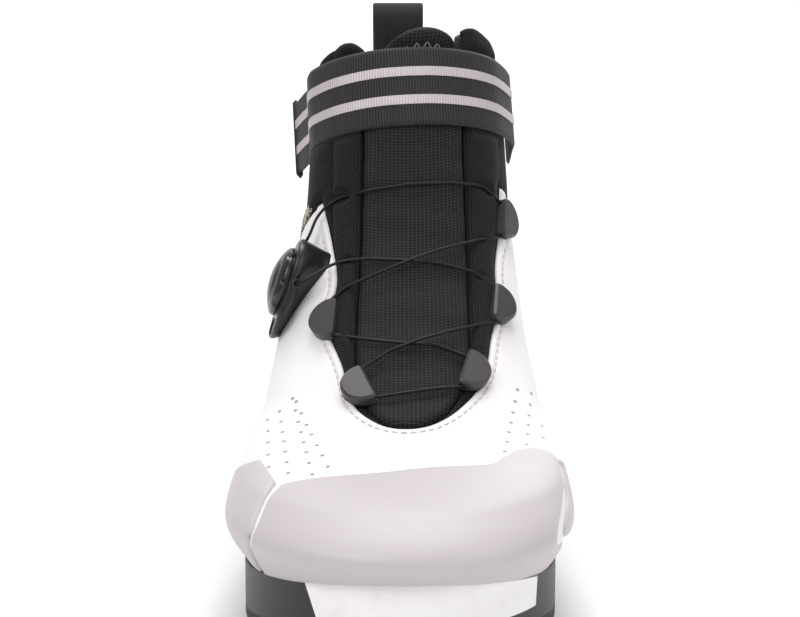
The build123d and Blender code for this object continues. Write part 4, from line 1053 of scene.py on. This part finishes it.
# Stitched box with a cross where the strap is sewn down.
box_places = []
corners = [(53.5, -12.5), (64.0, -12.5), (64.0, 12.5), (53.5, 12.5)]
runs = list(zip(corners, corners[1:] + corners[:1])) + [(corners[0], corners[2]), (corners[1], corners[3])]
for (y0, up0), (y1, up1) in runs:
    for y, up in evenly(np.array(((y0, up0), (y1, up1)), float), 2.6):
        centre = in_strap_plane(np.array([(STRAP_ROOT_X + STRAP_CLEAR + STRAP_T + 0.05, y)]), up)[0]
        direction = unit((y1 - y0) * strap_y + (up1 - up0) * strap_up)
        box_places.append((centre, direction, strap_x))
settle(stitches("strap_stitches", box_places, 1.9, 0.5, GREY_THREAD), "boot", "webbing")

# ---------------------------------------------------------------- pull loop
LOOP_X, LOOP_W, LOOP_T = -2.0, 23.0, 1.3
LOOP_UP = ((282.0, 176), (285.6, 182), (288.4, 188), (286.6, 194.5), (283.0, 201), (281.6, 207.5))
LOOP_DOWN = ((284.9, 212.3), (290.0, 209.4), (291.2, 200), (290.4, 191), (288.6, 184))
LOOP_ROOT = ((287.4, 174), (287.2, 162), (287.6, 152))
side_line = evenly(smooth_line((*LOOP_UP, *LOOP_DOWN, *LOOP_ROOT), 12), 0.9 if FINE == 1 else 2.0)
loop_y = side_line[:, 0] - TOE_TO_ORIGIN
loop_line = np.column_stack([np.full(len(side_line), LOOP_X), loop_y, side_line[:, 1]])
loop_along = unit(np.gradient(loop_line, axis=0))
loop_outward = np.cross(loop_along, (1.0, 0.0, 0.0))
loop_across = np.array((1.0, 0.0, 0.0))
pull = ribbon("pull_webbing", loop_line, loop_outward, loop_across, LOOP_W, LOOP_T, LOOP_WEB)
HEEL_CURVE = 0.026  # how much the low part follows the round heel, per square millimetre
for vertex in pull.data.vertices:
    x, low = vertex.co.x / MM - LOOP_X, soft_step((188 - vertex.co.z / MM) / 14)
    vertex.co.y -= HEEL_CURVE * x * x * low * MM
settle(pull, None, "webbing", "pull_loop", "loop_anchor")
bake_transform(pull)

# ---------------------------------------------------------------- dial housing
DIAL_Z, DIAL_SHARE = 98.0, 0.874
dial_n = unit(np.array((-0.94, -0.12, 0.32)))
dial_x = unit(np.cross((0.30, 0.18, 0.93), dial_n))
dial_y = np.cross(dial_n, dial_x)
dial_origin = skin(-np.arcsin(DIAL_SHARE) * 2 / np.pi, DIAL_Z)[0]
HOUSING_W, HOUSING_L, HOUSING_R, HOUSING_DROP = 25.4, 38.5, 12.0, 2.2
HOUSING_TOP, CHAMBER_R, CHAMBER_FLOOR = 6.4, 10.6, 2.0
FRONT_FOOT, END_FOOT = 0.36, 0.92  # the foot's size as a share of the rim's, to the front and at the ends


def in_dial(xyh):
    """World places of points given across, along and out of the dial."""
    xyh = np.asarray(xyh, float)
    return dial_origin + xyh[:, :1] * dial_x + xyh[:, 1:2] * dial_y + xyh[:, 2:] * dial_n


def outside_by(p):
    """How far points of the lateral side are outside the skin, along X."""
    front, widest, heel, lateral, _, heel_w, front_n, back_n = level(p[:, 2])
    s = station(p)
    ahead = np.clip((widest - s) / (widest - front), 0, 1)
    back = np.clip((s - widest) / (heel - widest), 0, 1)
    wide = lateral + (heel_w - lateral) * back**2 * (3 - 2 * back)
    x = np.where(s < widest, lateral * np.sqrt(1 - ahead**front_n), wide * np.sqrt(1 - back**back_n))
    return -p[:, 0] - x


def height_of_skin(xy):
    """Height along the dial's axis at which the skin lies under each place."""
    low, high = np.full(len(xy), -20.0), np.full(len(xy), 8.0)
    for _ in range(24):
        h = (low + high) / 2
        out = outside_by(in_dial(np.column_stack([xy, h]))) > 0
        low, high = np.where(out, low, h), np.where(out, h, high)
    return (low + high) / 2


def rounded_rectangle(width, length, radius, steps):
    out = []
    for corner in range(4):
        cx = (1, -1, -1, 1)[corner] * (width / 2 - radius)
        cy = (1, 1, -1, -1)[corner] * (length / 2 - radius)
        for i in range(steps):
            a = (corner + i / steps) * np.pi / 2
            out.append((cx + radius * np.cos(a), cy + radius * np.sin(a)))
    return np.array(out)


outline = rounded_rectangle(HOUSING_W, HOUSING_L, HOUSING_R, 16)
rim = evenly(np.vstack([outline, outline[:1]]), 1.0)[:-1]
foot = rim * np.column_stack([np.where(rim[:, 0] > 0, FRONT_FOOT, 1.0), np.full(len(rim), END_FOOT)])
shift = np.array((0, -HOUSING_DROP))
foot_h = np.minimum(height_of_skin(foot + shift) - 0.4, CHAMBER_FLOOR)



def dial_ring(plan, height):
    return np.column_stack([plan, np.broadcast_to(height, len(plan))])


# From the chamber's floor up its wall, over the rounded rim and down the outside to the foot.
angles = np.arctan2(rim[:, 1] + shift[1], rim[:, 0])
circle = np.column_stack([np.cos(angles), np.sin(angles)])
rings = [dial_ring(circle * radius, CHAMBER_FLOOR) for radius in (0.5, CHAMBER_R)]
rings.append(dial_ring(circle * CHAMBER_R, HOUSING_TOP))
RIM_R = 0.95
for inset, drop in ((RIM_R, 0), (0.28, 0.28), (0, RIM_R)):
    scaled = rim * (1 - 2 * inset / np.array((HOUSING_W, HOUSING_L)))
    rings.append(dial_ring(scaled + shift, HOUSING_TOP - drop))
for t in (0.15, 0.3, 0.45, 0.6, 0.75, 0.9, 1.0):
    plan = rim + (foot - rim) * soft_step(t) + shift
    rings.append(dial_ring(plan, (HOUSING_TOP - RIM_R) * (1 - t) + foot_h * t))
housing_points = np.vstack([in_dial(ring) for ring in rings])
housing_faces = rings_of(len(rings), len(rim), capped=True)
housing = add_mesh("dial_housing", housing_points, housing_faces, None, DIAL_BLACK)
POCKET_Y, POCKET_DEPTH = -17.0, 3.0
pocket = rounded_rectangle(11, 6.4, 1.5, 5) + (0, POCKET_Y)
pocket_rings = [in_dial(dial_ring(pocket, HOUSING_TOP + up)) for up in (-POCKET_DEPTH, 2)]
cutter = add_mesh("pocket_cutter", np.vstack(pocket_rings), rings_of(2, len(pocket), capped=True))
cut = housing.modifiers.new("pocket", "BOOLEAN")
cut.object, cut.operation, cut.solver = cutter, "DIFFERENCE", "EXACT"
bpy.context.view_layer.update()
carved = bpy.data.meshes.new_from_object(housing.evaluated_get(bpy.context.evaluated_depsgraph_get()))
housing.modifiers.clear()
housing.data = carved
bpy.data.objects.remove(cutter)
settle(housing, "boot", "dial_plastic", "dial_base")

# Knob: a shallow dome with notches round its rim, hollow underneath.
KNOB_RIM = ((11.9, 8.0), (11.9, 6.9), (13.0, 7.0), (13.1, 7.8), (12.8, 8.6), (12.0, 9.3), (10.6, 10.1))
KNOB_CAP = ((8.6, 11.0), (8.3, 10.85), (8.0, 11.15), (6.0, 11.8), (3.5, 12.3), (0.4, 12.5))
NOTCHES, NOTCH_DEPTH, KNOB_STEPS = 8, 1.0, 192
turn = np.linspace(0, 2 * np.pi, KNOB_STEPS, endpoint=False)
notch = soft_step((np.cos(turn * NOTCHES) - 0.55) / 0.25)
knob_rings = []
for radius, height in (*KNOB_RIM, *KNOB_CAP):
    bitten = radius - NOTCH_DEPTH * notch * soft_step((radius - 11.95) / 0.8)
    plan = np.column_stack([bitten * np.cos(turn), bitten * np.sin(turn)])
    knob_rings.append(in_dial(dial_ring(plan, height)))
knob_faces = rings_of(len(knob_rings), KNOB_STEPS, capped=True)
knob = add_mesh("dial_dome", np.vstack(knob_rings), knob_faces, None, KNOB_BLACK)
settle(knob, "dial_knob", "dial_plastic", "dial_knob", "dial_cap")

# Lips round the places where the lace leaves the housing.
PORTS = (((12.2, 0.1, 3.7), (3.9, 0.5, -1.5)), ((-4.6, 16.6, 3.5), (2.4, 4.5, -1.0)))
LIP_R, LIP_THICK = 1.35, 0.55
LIP_STEPS, LIP_ROUND = 20, 10
lip_points, lip_faces = [], []
for place, direction in PORTS:
    centre = in_dial([place])[0]
    along = unit(direction[0] * dial_x + direction[1] * dial_y + direction[2] * dial_n)
    side = unit(np.cross(along, dial_n))
    other = np.cross(along, side)
    lip_faces += rings_of(LIP_STEPS + 1, LIP_ROUND, first=len(lip_points))
    for a in np.linspace(0, 2 * np.pi, LIP_STEPS + 1):
        spoke = side * np.cos(a) + other * np.sin(a)
        for b in np.linspace(0, 2 * np.pi, LIP_ROUND, endpoint=False):
            reach = spoke * (LIP_R + LIP_THICK * np.cos(b)) + along * LIP_THICK * np.sin(b)
            lip_points.append(centre + reach)
settle(add_mesh("dial_port_lips", lip_points, lip_faces, None, DIAL_BLACK), "boot", "dial_plastic")

# ---------------------------------------------------------------- hard parts kept from the CAD
SURFACES = {
    SOLE_BLACK: ("sole_chassis",),
    TREAD_BLACK: ("forefoot_tread", "heel_tread"),
    STEEL: ("toe_bar", "bar_bracket", "bracket_screws", "dial_screw"),
    BOARD: ("lasting_board", "shank", "toe_puff", "heel_stiffener"),
    BUMPER_WHITE: ("toe_bumper",),
    DIAL_BLACK: ("dial_ring", "dial_spool", "dial_clip"),
    CABLE: ("lace_cable", "lace_winding"),
    GUIDE_GREY: tuple(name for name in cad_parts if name.startswith("guide_")),
}
for material, names in SURFACES.items():
    for name in names:
        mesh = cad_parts[name].data
        mesh.materials.clear()
        mesh.materials.append(material)

# ---------------------------------------------------------------- floor, lights and camera
def lamp(name, place, target, size, power, colour=(1, 1, 1)):
    light = bpy.data.lights.new(name, "AREA")
    light.shape, light.size, light.energy, light.color = "DISK", size, power, colour
    holder = bpy.data.objects.new(name, light)
    holder.location = place
    holder.rotation_euler = (Vector(target) - Vector(place)).to_track_quat("-Z", "Y").to_euler()
    bpy.context.collection.objects.link(holder)
    return holder


floor_paint = Paint("floor", (0.88, 0.88, 0.885), 0.8)
floor_paint.bump(floor_paint.speckle(0.02, 2), 0.02, 0.0002)
FLOOR_HALF, BEND_FROM, BEND_R, WALL_TOP = 4.0, 1.4, 0.9, 4.0
turns = np.linspace(0, np.pi / 2, 25)
profile = [(-FLOOR_HALF, 0.0)]
profile += [(BEND_FROM + BEND_R * np.sin(a), BEND_R * (1 - np.cos(a))) for a in turns]
profile.append((BEND_FROM + BEND_R, WALL_TOP))
floor_points = [(side * FLOOR_HALF / MM, y / MM, z / MM) for y, z in profile for side in (-1, 1)]
floor_faces = [[2 * i, 2 * i + 1, 2 * i + 3, 2 * i + 2] for i in range(len(profile) - 1)]
floor = add_mesh("floor", floor_points, floor_faces, None, floor_paint.material)
MIDDLE_OF_BOOT = (0, 0, 0.1)
stage = [
    floor,
    lamp("key", (-0.55, -0.75, 0.95), MIDDLE_OF_BOOT, 0.7, 6.5),
    lamp("fill", (0.8, -0.6, 0.55), MIDDLE_OF_BOOT, 0.8, 2.6),
    lamp("top", (0.05, 0.15, 1.1), MIDDLE_OF_BOOT, 0.8, 4.5),
    lamp("back", (0.3, 0.8, 0.5), MIDDLE_OF_BOOT, 0.6, 2),
    lamp("wall_light", (0, 0.9, 2.2), (0, 2.3, 0.9), 1.6, 45),
]

world = bpy.data.worlds.new("studio")
world.use_nodes = True
world.node_tree.nodes["Background"].inputs["Color"].default_value = (0.92, 0.92, 0.93, 1)
world.node_tree.nodes["Background"].inputs["Strength"].default_value = 0.42
bpy.context.scene.world = world
bpy.context.scene.view_settings.view_transform = "Standard"

camera = bpy.data.cameras.new("camera")
camera.lens, camera.sensor_width, camera.clip_start = 64.26, 36, 0.01
holder = bpy.data.objects.new("camera", camera)
holder.location = (-0.002, -0.534, 0.160)
holder.rotation_euler = (np.radians(90 - 7.56), 0, np.radians(-0.08))
bpy.context.collection.objects.link(holder)
bpy.context.scene.camera = holder
